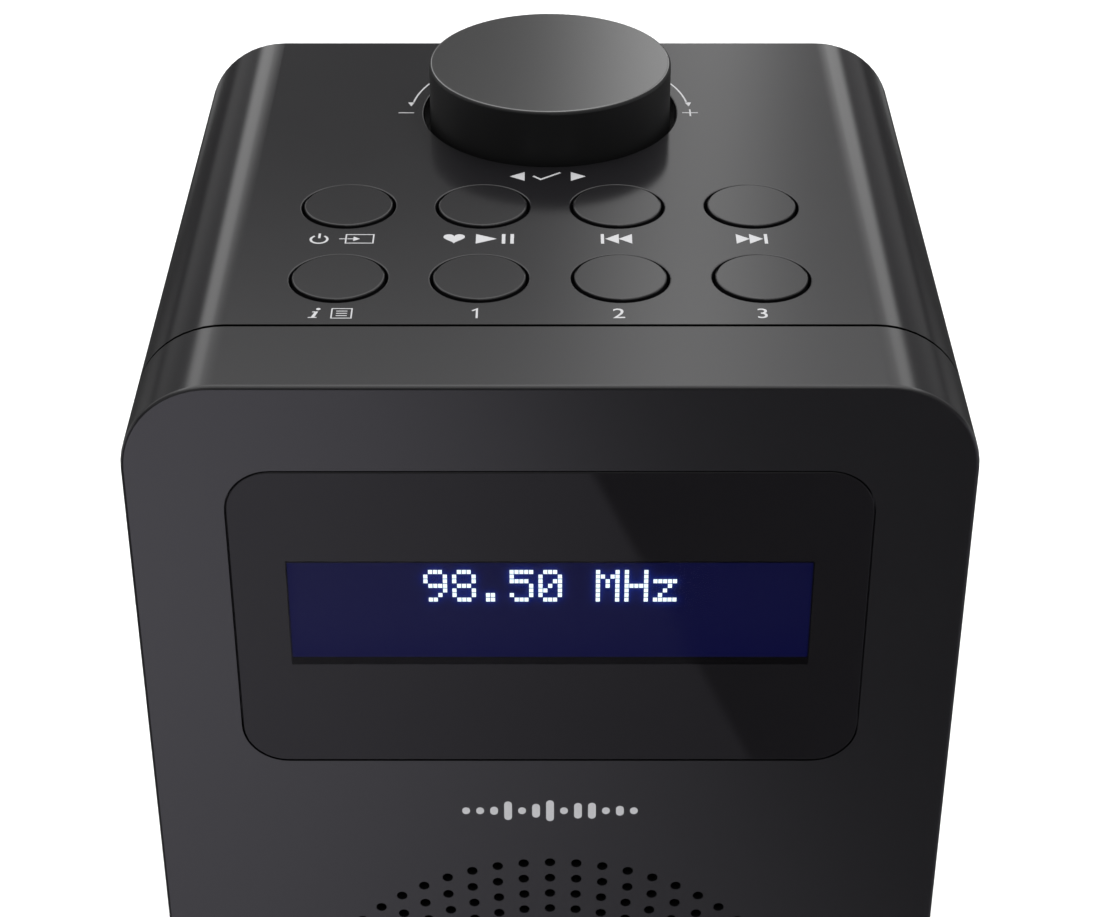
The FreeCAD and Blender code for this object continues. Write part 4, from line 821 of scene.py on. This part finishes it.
@dataclass
class Legends:
    """The light grey print round the buttons and the knob."""

    ink: float = 0.02 * MM
    stroke: float = 0.3 * MM
    icon_height: float = 2.6 * MM
    digit_height: float = 2.35 * MM
    heart_half: float = 1.38 * MM
    lean: float = 0.28
    upper_row: float = 36.5 * MM
    lower_row: float = 17.2 * MM
    select_row: float = 54.3 * MM
    turn_row: float = 74.2 * MM
    arrow_radius: float = 19.5 * MM

    def places(self) -> dict[Legend, Place]:
        """List where the symbols lie.

        Returns:
            Each symbol's X, and its distance behind the front face.
        """
        return {
            Legend.POWER: (-29.6 * MM, self.upper_row),
            Legend.SOURCE: (-24.8 * MM, self.upper_row),
            Legend.FAVOURITE: (-12.3 * MM, self.upper_row),
            Legend.PLAY_PAUSE: (-7.0 * MM, self.upper_row),
            Legend.PREVIOUS: (8.4 * MM, self.upper_row),
            Legend.NEXT: (26.0 * MM, self.upper_row),
            Legend.INFORMATION: (-28.6 * MM, self.lower_row),
            Legend.MENU: (-25.4 * MM, self.lower_row),
            Legend.ONE: (-9.0 * MM, self.lower_row),
            Legend.TWO: (8.4 * MM, self.lower_row),
            Legend.THREE: (25.9 * MM, self.lower_row),
            Legend.LEFT: (-4.4 * MM, self.select_row),
            Legend.SELECT: (-0.5 * MM, self.select_row),
            Legend.RIGHT: (3.8 * MM, self.select_row),
            Legend.MINUS: (-20.2 * MM, self.turn_row),
            Legend.PLUS: (19.7 * MM, self.turn_row),
        }

    def triangle(self, shape: Shape, width: float, at: float, way: int) -> None:
        """Add a filled triangle that points along X.

        Args:
            shape: The shape to add it to.
            width: Its length along X.
            at: Its middle.
            way: 1 to point right, -1 to point left.
        """
        half = self.icon_height / 2
        tip = at + way * width / 2
        base = at - way * width / 2
        shape.polygon([(base, -half), (tip, 0.0), (base, half)])

    def draw(self, legend: Legend) -> Shape:
        """Draw one symbol round its own middle.

        Args:
            legend: The symbol.

        Returns:
            Its flat shape.
        """
        shape = Shape()
        half = self.icon_height / 2
        stroke = self.stroke
        match legend:
            case Legend.POWER:
                shape.arc(half * 0.82, stroke, (125, 415), (0.0, -half * 0.1))
                shape.bar((stroke, half * 0.95), (0.0, half * 0.62))
            case Legend.SOURCE:
                shape.frame((3.7 * MM, 2.5 * MM), stroke * 0.6, (0.4 * MM, 0.0))
                shape.bar((0.75 * MM, stroke * 0.6), (-1.85 * MM, 0.0))
                shape.bar((0.8 * MM, stroke * 0.6), (-0.8 * MM, 0.0))
                shape.polygon([(-0.4 * MM, -0.6 * MM), (0.45 * MM, 0.0), (-0.4 * MM, 0.6 * MM)])
            case Legend.FAVOURITE:
                shape.polygon(self.heart())
            case Legend.PLAY_PAUSE:
                self.triangle(shape, 2.7 * MM, -1.15 * MM, 1)
                for x in (1.05 * MM, 2.15 * MM):
                    shape.bar((0.45 * MM, 2 * half), (x, 0.0))
            case Legend.PREVIOUS | Legend.NEXT:
                way = 1 if legend is Legend.NEXT else -1
                for x in (-1.25 * MM, 0.45 * MM):
                    self.triangle(shape, 1.75 * MM, way * x, way)
                shape.bar((0.42 * MM, 2 * half), (way * 1.68 * MM, 0.0))
            case Legend.INFORMATION:
                shape.polygon(self.slanted_i())
                shape.disc(0.27 * MM, (0.3 * MM, 1.05 * MM), 20)
            case Legend.MENU:
                shape.frame((2.6 * MM, 2.5 * MM), stroke * 0.55)
                for row in (-0.56 * MM, 0.0, 0.56 * MM):
                    shape.bar((1.35 * MM, 0.17 * MM), (0.0, row))
            case Legend.ONE:
                top = self.digit_height / 2
                shape.stroke([(-0.5 * MM, top - 0.55 * MM), (0.08 * MM, top - 0.1 * MM), (0.08 * MM, -top)],
                             stroke * 0.85)
            case Legend.TWO | Legend.THREE:
                shape.letter(legend.value, self.digit_height)
            case Legend.LEFT | Legend.RIGHT:
                self.triangle(shape, 2.0 * MM, 0.0, 1 if legend is Legend.RIGHT else -1)
            case Legend.SELECT:
                shape.stroke([(-1.75 * MM, 0.1 * MM), (-0.75 * MM, -0.9 * MM), (1.9 * MM, 1.15 * MM)],
                             stroke * 1.1)
            case Legend.MINUS | Legend.PLUS:
                shape.bar((2.2 * MM, stroke * 0.75))
                if legend is Legend.PLUS:
                    rise = 0.55 * MM + stroke * 0.19
                    for side in (-1, 1):
                        shape.bar((stroke * 0.75, 1.1 * MM - stroke * 0.375), (0.0, side * rise))
        return shape

    def slanted_i(self) -> list[Place]:
        """The stem and serifs of a leaning letter i.

        Returns:
            Their outline.
        """
        outline = ((-0.55, -1.1), (0.5, -1.1), (0.5, -0.9), (0.2, -0.9), (0.2, 0.45), (-0.5, 0.45),
                   (-0.5, 0.25), (-0.2, 0.25), (-0.2, -0.9), (-0.55, -0.9))
        return [((x + self.lean * y) * MM, y * MM) for x, y in outline]

    def heart(self) -> list[Place]:
        """A heart, by the usual sine formula.

        Returns:
            Its outline.
        """
        half = self.heart_half
        points = []
        for index in range(48):
            turn = 2 * math.pi * index / 48
            x = 16 * math.sin(turn) ** 3
            y = 13 * math.cos(turn) - 5 * math.cos(2 * turn) - 2 * math.cos(3 * turn) - math.cos(4 * turn)
            points.append((x * half / 16, (y + 2.5) * half / 16))
        return points

    def turn_arrow(self, side: int) -> Shape:
        """An arrow round the knob's edge, pointing to the front.

        Args:
            side: -1 for the left side, 1 for the right.

        Returns:
            Its flat shape, about the knob's axis.
        """
        shape = Shape()
        ends = sorted((90 - side * 81.8, 90 - side * 36))
        shape.arc(self.arrow_radius, self.stroke * 0.8, (ends[0], ends[1]))
        tip = Vector((side * (self.arrow_radius + 0.1 * MM), 1.3 * MM))
        shape.polygon([tip, tip + Vector((-0.5, 1.3)) * MM, tip + Vector((0.4, 1.3)) * MM])
        return shape

    def build(self, finish: bpy.types.Material) -> None:
        """Print every symbol on the top.

        Args:
            finish: The ink.
        """
        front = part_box("front_housing")[0].y
        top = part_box("cabinet_sleeve")[1].z
        low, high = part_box("knob")
        for legend, (x, back) in self.places().items():
            shape = self.draw(legend)
            shape.raise_flat(self.ink)
            shape.piece("legend_" + legend.value, finish, "root", "mask_ink", facing_up(x, front + back, top))
        for legend, side in ((Legend.TURN_DOWN, -1), (Legend.TURN_UP, 1)):
            shape = self.turn_arrow(side)
            shape.raise_flat(self.ink)
            shape.piece("legend_" + legend.value, finish, "root", "mask_ink",
                        facing_up(0.0, (low.y + high.y) / 2, top))


# ------------------------------------------------------------------ the display
GLYPHS = {
    "0": (".###.", "#...#", "#..##", "#.#.#", "##..#", "#...#", ".###."),
    "5": ("#####", "#....", "####.", "....#", "....#", "#...#", ".###."),
    "8": (".###.", "#...#", "#...#", ".###.", "#...#", "#...#", ".###."),
    "9": (".###.", "#...#", "#...#", ".####", "....#", "...#.", ".##.."),
    ".": (".....", ".....", ".....", ".....", ".....", ".##..", ".##.."),
    "H": ("#...#", "#...#", "#...#", "#####", "#...#", "#...#", "#...#"),
    "M": ("#...#", "##.##", "#.#.#", "#.#.#", "#...#", "#...#", "#...#"),
    "z": (".....", ".....", "#####", "...#.", "..#..", ".#...", "#####"),
    " ": (".....",) * 7,
}


@dataclass
class CharacterDisplay:
    """The lit two-row display behind the window."""

    text: str = "98.50 MHz"
    cell_pitch: float = 3.55 * MM
    dot_pitch: Place = (0.60 * MM, 0.70 * MM)
    dot: Place = (0.51 * MM, 0.59 * MM)
    row_pitch: float = 5.95 * MM
    view: Place = (65.0 * MM, 15.9 * MM)
    view_rise: float = 0.35 * MM
    clear: Place = (64.4 * MM, 15.7 * MM)
    clear_rise: float = 1.25 * MM
    text_drop: float = 0.1 * MM
    face_gap: float = 0.03 * MM
    dots_gap: float = 0.05 * MM
    dot_height: float = 0.02 * MM
    dot_glow: float = 1.6
    field_step: float = 0.3 * MM
    field_glow: float = 1.35
    field_colour: Colour = (0.0012, 0.0018, 0.036)
    halo_colour: Colour = (0.012, 0.045, 0.42)
    halo_radius: float = 0.75 * MM
    halo_share: float = 0.16
    attribute: str = "glow"

    def dots(self) -> list[Place]:
        """List the lit dots.

        Returns:
            Their middles, from the display's centre.
        """
        found = []
        width = len(self.text) * self.cell_pitch - self.dot_pitch[0]
        top = self.row_pitch - self.dot_pitch[1] / 2
        for place, sign in enumerate(self.text):
            for row, line in enumerate(GLYPHS[sign]):
                for column, state in enumerate(line):
                    if state == "#":
                        x = place * self.cell_pitch + (column + 0.5) * self.dot_pitch[0] - width / 2
                        found.append((x, top - row * self.dot_pitch[1] - self.text_drop))
        return found

    def build(self) -> None:
        """Build the lit face and the lit dots in front of the glass."""
        low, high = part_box("lcd_glass")
        centre = (low + high) / 2
        dots = self.dots()
        field = Shape()
        counts = [round(size / self.field_step) for size in self.view]
        place = Matrix.Translation((0.0, self.view_rise, 0.0))
        scale = Matrix.Diagonal((self.view[0] / 2, self.view[1] / 2, 1.0, 1.0))
        bmesh.ops.create_grid(field.mesh, x_segments=counts[0], y_segments=counts[1], size=1.0,
                              matrix=place @ scale)
        layer = field.mesh.verts.layers.float_color.new(self.attribute)
        for vert in field.mesh.verts:
            vert[layer] = (*self.light_at(vert.co.x, vert.co.y, dots), 1.0)
        lit = Backlit("display_light", self.attribute, self.field_glow).make()
        field.piece("display_face", lit, "root", "display_glass",
                    facing_front(centre.x, low.y - self.face_gap, centre.z), True)
        shape = Shape()
        for at in dots:
            shape.bar(self.dot, at)
        shape.raise_flat(self.dot_height)
        bright = Printed("lit_dots", (0.80, 0.95, 1.0), roughness=0.4, glow=self.dot_glow).make()
        shape.piece("display_characters", bright, "root", "display_glass",
                    facing_front(centre.x, low.y - self.dots_gap, centre.z))

    def light_at(self, x: float, y: float, dots: Sequence[Place]) -> Colour:
        """The light of the display's face at a place, with a painted sheen: it is raised towards the left,
        where the lens's sheen lies, and towards the bottom.

        Args:
            x: Across the display, from its centre.
            y: Up the display, from its centre.
            dots: The lit dots.

        Returns:
            Its linear colour.
        """
        halo = 0.0
        for dot_x, dot_y in dots:
            away = ((x - dot_x) ** 2 + (y - dot_y) ** 2) / self.halo_radius ** 2
            if away < 9:
                halo += math.exp(-away)
        halo = min(halo * self.halo_share, 1.0)
        across = x / self.view[0] + 0.5
        up = y / self.view[1] + 0.5
        # Painted sheen: the face's light is raised towards the left, where the lens's sheen lies across the
        # window, and also towards the bottom.
        edge = 0.95 + 0.1 * (1 - up) + 0.2 * (1 - across)
        return tuple(dark * edge + light * halo for dark, light in zip(self.field_colour, self.halo_colour))

    def dress(self) -> None:
        """Dress the display's nodes."""
        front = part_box("display_lens")[0].y
        low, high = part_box("lcd_glass")
        middle = ((low.x + high.x) / 2, front, (low.z + high.z) / 2 + self.clear_rise)
        dress(Acrylic("window_acrylic", middle, self.clear).make(), ("display_lens",))
        window = Printed("window_ink", (0.004, 0.004, 0.0045), roughness=0.3, specular=0.3).make()
        dress(window, ("display_mask",))
        dress(Printed("display_edge", (0.002, 0.002, 0.0025), roughness=0.5).make(), ("lcd_glass",))
        dress(Printed("light_guide", (0.75, 0.8, 0.85), roughness=0.3).make(), ("lcd_backlight",))
        dress(Metal("black_frame", (0.006, 0.006, 0.006), roughness=0.5, metallic=0.0).make(), ("lcd_bezel",))
        dress(Board("display_lacquer").make(), ("lcd_board",))


# ------------------------------------------------------------------ the controls
@dataclass
class Controls:
    """Buttons, knob and what they press or turn."""

    names: tuple[str, ...] = ("power", "favourite", "previous", "next",
                              "menu", "preset_1", "preset_2", "preset_3")
    cap_radius: float = 5.8 * MM
    cap_colour: Colour = (0.0092, 0.0089, 0.0098)

    def dress(self) -> None:
        """Dress the controls' nodes."""
        for name in self.names:
            low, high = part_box("button_" + name)
            rim = ((low.x + high.x) / 2, (low.y + high.y) / 2, self.cap_radius)
            cap = Moulded("graphite_" + name, self.cap_colour, roughness=0.14, grain=0.12 * MM, rim=rim)
            dress(cap.make(), ("button_" + name,))
        low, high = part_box("knob")
        centre = (low + high) / 2
        dress(Spun("spun_knob", (0.0075, 0.0075, 0.0078), tuple(centre), high.z).make(), ("knob",))
        dress(Board("control_lacquer").make(), ("control_board",))
        switch = Moulded("switch_plastic", (0.01, 0.01, 0.011), roughness=0.4).make()
        dress(switch, ("tact_switches", "encoder_plunger"))
        dress(Metal("drawn_can", (0.72, 0.73, 0.75), roughness=0.28).make(), ("encoder_body",))
        dress(Striped("control_cable", (0.55, 0.54, 0.5), (0.7, 0.69, 0.64)).make(), ("control_ribbon",))


# ------------------------------------------------------------------ the loudspeaker
@dataclass
class Loudspeaker:
    """The driver behind the round grille."""

    def dress(self) -> None:
        """Dress the loudspeaker's nodes."""
        dress(Woven("speaker_cloth", (0.004, 0.004, 0.0042)).make(), ("grille_cloth",))
        foam = Soft("speaker_foam", (0.014, 0.014, 0.014),
                    lump=0.6 * MM, depth=0.08 * MM, roughness=0.95).make()
        dress(foam, ("speaker_gasket", "speaker_surround"))
        paper = Soft("cone_paper", (0.018, 0.018, 0.019),
                     lump=1.4 * MM, depth=0.05 * MM, roughness=0.8).make()
        dress(paper, ("speaker_cone", "speaker_dust_cap"))
        wire = Metal("coil_wire", (0.72, 0.33, 0.16), roughness=0.3, grain=0.25 * MM,
                     stretch=(8.0, 1.0, 8.0), depth=0.05 * MM).make()
        dress(wire, ("speaker_voice_coil",))
        steel = Metal("black_steel", (0.012, 0.012, 0.013), roughness=0.42, metallic=0.0).make()
        dress(steel, ("speaker_basket", "speaker_top_plate", "speaker_yoke"))
        ferrite = Soft("ferrite", (0.022, 0.022, 0.024),
                       lump=0.35 * MM, depth=0.02 * MM, roughness=0.6).make()
        dress(ferrite, ("speaker_magnet",))
        strip = Moulded("terminal_strip", (0.16, 0.07, 0.025), roughness=0.5).make()
        dress(strip, ("speaker_terminal",))
        leads = Soft("lead_cover", (0.22, 0.012, 0.01), lump=1.5 * MM, depth=0.01 * MM, roughness=0.45).make()
        dress(leads, ("speaker_leads",))


# ------------------------------------------------------------------ the electronics
@dataclass
class Electronics:
    """The main board and the sockets in the rear cover."""

    ink: float = 0.02 * MM
    stroke: float = 0.35 * MM
    icon_rise: float = 6.4 * MM
    audio_inset: float = 3.5 * MM
    power_rise: float = 1.0 * MM
    terminal: float = 3.5 * MM

    def build(self, finish: bpy.types.Material) -> None:
        """Print a sign above each socket.

        Args:
            finish: The ink.
        """
        low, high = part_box("audio_jacks")
        recess = high.y
        for name, x, drawing in (("headphones", high.x - self.audio_inset, self.headphones),
                                 ("line_in", low.x + self.audio_inset, self.line_in)):
            shape = drawing()
            shape.raise_flat(self.ink)
            shape.piece("sign_" + name, finish, "root", "mask_ink",
                        facing_back(x, recess, high.z + self.icon_rise / 2))
        low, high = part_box("dc_jack")
        shape = self.polarity()
        shape.raise_flat(self.ink)
        shape.piece("sign_power", finish, "root", "mask_ink",
                    facing_back((low.x + high.x) / 2, recess, high.z + self.power_rise))

    def headphones(self) -> Shape:
        """Draw a pair of headphones.

        Returns:
            The flat shape.
        """
        shape = Shape()
        shape.arc(1.5 * MM, self.stroke, (0, 180))
        for side in (-1, 1):
            shape.bar((0.75 * MM, 1.5 * MM), (side * 1.35 * MM, -0.75 * MM))
        return shape

    def line_in(self) -> Shape:
        """Draw an arrow into a ring.

        Returns:
            The flat shape.
        """
        shape = Shape()
        shape.arc(1.5 * MM, self.stroke, (35, 325))
        shape.bar((1.8 * MM, self.stroke), (1.6 * MM, 0.0))
        shape.polygon([(-0.3 * MM, 0.0), (0.75 * MM, 0.75 * MM), (0.75 * MM, -0.75 * MM)])
        return shape

    def polarity(self) -> Shape:
        """Draw the plug's polarity: plus to the pin, minus to the sleeve.

        Returns:
            The flat shape.
        """
        shape = Shape()
        shape.disc(0.4 * MM, segments=20)
        shape.arc(1.1 * MM, 0.26 * MM, (40, 320))
        for x, wire in ((-self.terminal, -1.95 * MM), (self.terminal, 1.1 * MM)):
            shape.bar((1.6 * MM, 0.24 * MM), (wire, 0.0))
            shape.arc(0.75 * MM, 0.22 * MM, (0, 360), (x, 0.0), 24)
            shape.bar((0.8 * MM, 0.2 * MM), (x, 0.0))
        shape.bar((0.2 * MM, 0.8 * MM), (self.terminal, 0.0))
        return shape

    def dress(self) -> None:
        """Dress the boards, sockets and wires."""
        dress(Board("main_lacquer").make(), ("main_board",))
        black = Moulded("socket_plastic", (0.008, 0.008, 0.009), roughness=0.36).make()
        dress(black, ("dc_jack", "audio_jacks", "amplifier_chip"))
        can = Metal("bright_can", (0.78, 0.79, 0.8), roughness=0.2,
                    grain=0.1 * MM, stretch=(1.0, 6.0, 1.0)).make()
        dress(can, ("radio_module", "capacitors", "service_port"))
        dress(Moulded("connector_nylon", (0.62, 0.6, 0.53), roughness=0.45).make(), ("board_connectors",))
        dress(Striped("display_cable", (0.5, 0.5, 0.48), (0.68, 0.67, 0.63)).make(), ("display_ribbon",))
        cover = Soft("antenna_cover", (0.01, 0.01, 0.01),
                     lump=1.2 * MM, depth=0.01 * MM, roughness=0.4).make()
        dress(cover, ("antenna_lead",))


# ------------------------------------------------------------------ the antenna
@dataclass
class Antenna:
    """The folding telescopic rod behind the cabinet."""

    lip_length: float = 0.55 * MM
    lip_round: float = 0.25 * MM
    tube_gap: float = 0.05 * MM
    last_bore: float = 2.05 * MM
    bodies: tuple[str, ...] = ("antenna_arm", "antenna_second", "antenna_third")

    def build(self, finish: bpy.types.Material) -> None:
        """Build the rolled lip at the mouth of each tube.

        Args:
            finish: The tubes' plating.
        """
        for index, body in enumerate(self.bodies, 1):
            low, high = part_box(f"antenna_section_{index}")
            inner_low, inner_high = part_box(f"antenna_section_{index + 1}")
            last = index == len(self.bodies)
            bore = self.last_bore if last else (inner_high.z - inner_low.z) / 2 + self.tube_gap
            outer = (high.z - low.z) / 2
            shape = Shape()
            profile = [(bore, 0.0), (outer, 0.0)]
            for step in range(5):
                turn = math.pi / 2 * step / 4
                radius = outer - self.lip_round * (1 - math.cos(turn))
                profile.append((radius, self.lip_length * math.sin(turn)))
            profile += [(bore, self.lip_length), (bore, 0.0)]
            shape.lathe(profile)
            place = Matrix.Translation((high.x, (low.y + high.y) / 2, (low.z + high.z) / 2))
            shape.piece(f"antenna_lip_{index}", finish, body, "antenna_chrome",
                        place @ Matrix.Rotation(math.pi / 2, 4, "Y"), True)

    def dress(self, chrome: bpy.types.Material) -> None:
        """Dress the antenna's nodes.

        Args:
            chrome: The tubes' plating.
        """
        sections = [f"antenna_section_{index}" for index in range(1, 5)]
        dress(chrome, [*sections, "antenna_elbow", "antenna_pin"])
        foot = Moulded("antenna_foot", (0.01, 0.01, 0.0105), roughness=0.3).make()
        dress(foot, ("antenna_base",))


# ------------------------------------------------------------------ the studio
@dataclass
class Studio:
    """Floor, lights, world and camera."""

    floor_size: float = 6.0
    backdrop: float = 0.95
    low_tint: Colour = (0.985, 0.955, 1.085)
    camera_distance: float = 252.5 * MM
    camera_rise: float = 153.3 * MM
    camera_pitch: float = 32.88
    lens: float = 83.2
    sensor: float = 36.0

    def build(self) -> None:
        """Build the whole studio."""
        bpy.context.scene.view_settings.view_transform = "Standard"
        self.floor()
        self.world()
        self.camera()
        self.light("key", at=(0.15, 0.25, 1.25), aim=(0.0, 0.05, 0.1), size=1.3, power=20.0)
        self.light("fill", at=(-0.9, -1.1, 0.75), aim=(0.0, 0.0, 0.1), size=0.8, power=0.9)

    def floor(self) -> None:
        """Lay the pale floor."""
        data = bpy.data.meshes.new("floor")
        mesh = bmesh.new()
        bmesh.ops.create_grid(mesh, x_segments=1, y_segments=1, size=self.floor_size / 2)
        mesh.to_mesh(data)
        mesh.free()
        recipe = Recipe.material("pale_floor")
        cloud = recipe.noise(0.4)
        pale = recipe.mixed(cloud, (0.9, 0.9, 0.9), (0.92, 0.92, 0.92))
        data.materials.append(recipe.finish(Base_Color=pale, Roughness=0.9, Specular_Ior_Level=0.0))
        floor = bpy.data.objects.new("floor", data)
        floor.visible_glossy = False
        bpy.context.scene.collection.objects.link(floor)

    def light(self, name: str, at: Sequence[float], aim: Sequence[float], size: float, power: float) -> None:
        """Hang a soft square light that reflections leave out.

        Args:
            name: Its name.
            at: Its place.
            aim: What it points at.
            size: Its width.
            power: Its power, in watts.
        """
        data = bpy.data.lights.new(name, "AREA")
        data.size = size
        data.energy = power
        lamp = bpy.data.objects.new(name, data)
        lamp.location = at
        lamp.visible_glossy = False
        lamp.rotation_euler = (Vector(aim) - Vector(at)).to_track_quat("-Z", "Y").to_euler()
        bpy.context.scene.collection.objects.link(lamp)

    def world(self) -> None:
        """Surround the scene with dim cards and soft boxes."""
        world = bpy.data.worlds.new("studio")
        world.use_nodes = True
        bpy.context.scene.world = world
        recipe = Recipe(world.node_tree, "Generated")
        x, y, z = recipe.axes()
        behind = y.ramp(0.0, 0.15)
        before = y.ramp(0.0, -0.1)
        below = z.ramp(0.0, -0.1)
        side = x / y
        rise = z / y
        away = side.size()
        # Above the horizon and behind: a ceiling card, an upright band on the right, a strip on each side.
        dim = 0.07 + rise.ramp(0.48, 0.68) * (0.62 - side.ramp(0.0, 0.2) * 0.15)
        band = side.ramp(-0.01, 0.07) * (1 - side.ramp(0.07, 0.115) * 0.8) * side.ramp(0.3, 0.22)
        lean = away - rise * 0.7
        strips = lean.ramp(-0.14, -0.03) * lean.ramp(0.19, 0.08) * rise.ramp(0.2, 0.3)
        skyline = rise.ramp(0.4, 0.1) * 0.1
        back_light = behind * z.ramp(-0.02, 0.06) * (dim + band * 0.97 + strips + skyline)
        # Below the horizon: a card behind, one at each side, and one that wraps round the corners.
        back_card = behind * away.ramp(0.45, 0.3) * rise.ramp(-0.42, -0.3) * rise.ramp(-0.02, -0.1)
        side_card = x.size().ramp(0.78, 0.9) * z.ramp(-0.5, -0.4) * z.ramp(0.1, 0.0)
        wide_card = (behind * away.ramp(0.5, 0.7) + before * x.ramp(0.3, 0.5)) * below
        # Below the horizon in front: the card whose slanting edge the front face shows.
        low = before * below
        slope = x - y * 0.2874 + z * 0.4695
        low_card = slope.ramp(0.003, -0.003) * (0.36 + x.ramp(0.1, -0.17)) * x.ramp(-0.6, -0.35)
        low_card = low_card * (1 - z.ramp(-0.56, -0.76) * 0.4)
        # Overhead and above the horizon in front: two plain soft boxes.
        overhead = z.ramp(0.64, 0.85)
        front_light = y.ramp(0.0, -0.15) * z.ramp(0.05, 0.3)
        cards = (back_card + side_card) * 0.35 + wide_card * 0.18 + low * (0.012 + low_card * 0.55)
        light = 0.05 + back_light + cards + overhead * 0.7 + front_light * 0.2
        seen = recipe.add("ShaderNodeLightPath", output="Is Camera Ray")
        strength = light * (1 - seen) + seen * self.backdrop
        background = world.node_tree.nodes["Background"]
        tint = recipe.mixed(low * (1 - seen), (1.0, 1.0, 1.0), self.low_tint)
        world.node_tree.links.new(tint.socket, background.inputs["Color"])
        world.node_tree.links.new(strength.socket, background.inputs["Strength"])

    def camera(self) -> None:
        """Set the camera in front of and above the radio."""
        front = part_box("front_housing")[0].y
        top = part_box("cabinet_sleeve")[1].z
        data = bpy.data.cameras.new("camera")
        data.lens = self.lens
        data.sensor_width = self.sensor
        data.clip_start = 0.01
        camera = bpy.data.objects.new("camera", data)
        camera.location = (0.0, front - self.camera_distance, top + self.camera_rise)
        camera.rotation_euler = (math.radians(90 - self.camera_pitch), 0.0, 0.0)
        bpy.context.scene.collection.objects.link(camera)
        bpy.context.scene.camera = camera


def write_sizes() -> None:
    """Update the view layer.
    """
    bpy.context.view_layer.update()


def main() -> None:
    """Build and dress every part of the radio, then the studio."""
    logging.basicConfig(level=logging.INFO, format="%(message)s")
    print_grey = Printed("legend_ink", (0.43, 0.43, 0.44), roughness=0.4).make()
    mark_grey = Printed("mark_ink", (0.62, 0.62, 0.64), roughness=0.35).make()
    plating = Metal("chrome_plate", (0.82, 0.83, 0.85), roughness=0.1, grain=0.2 * MM,
                    stretch=(30.0, 1.0, 1.0), depth=0.0003 * MM)
    chrome = plating.make()
    cabinet = Cabinet()
    cabinet.build(mark_grey)
    cabinet.dress()
    Legends().build(print_grey)
    display = CharacterDisplay()
    display.build()
    display.dress()
    Controls().dress()
    Loudspeaker().dress()
    electronics = Electronics()
    electronics.build(print_grey)
    electronics.dress()
    antenna = Antenna()
    antenna.build(chrome)
    antenna.dress(chrome)
    Studio().build()
    write_sizes()


if __name__ == "__main__":
    main()
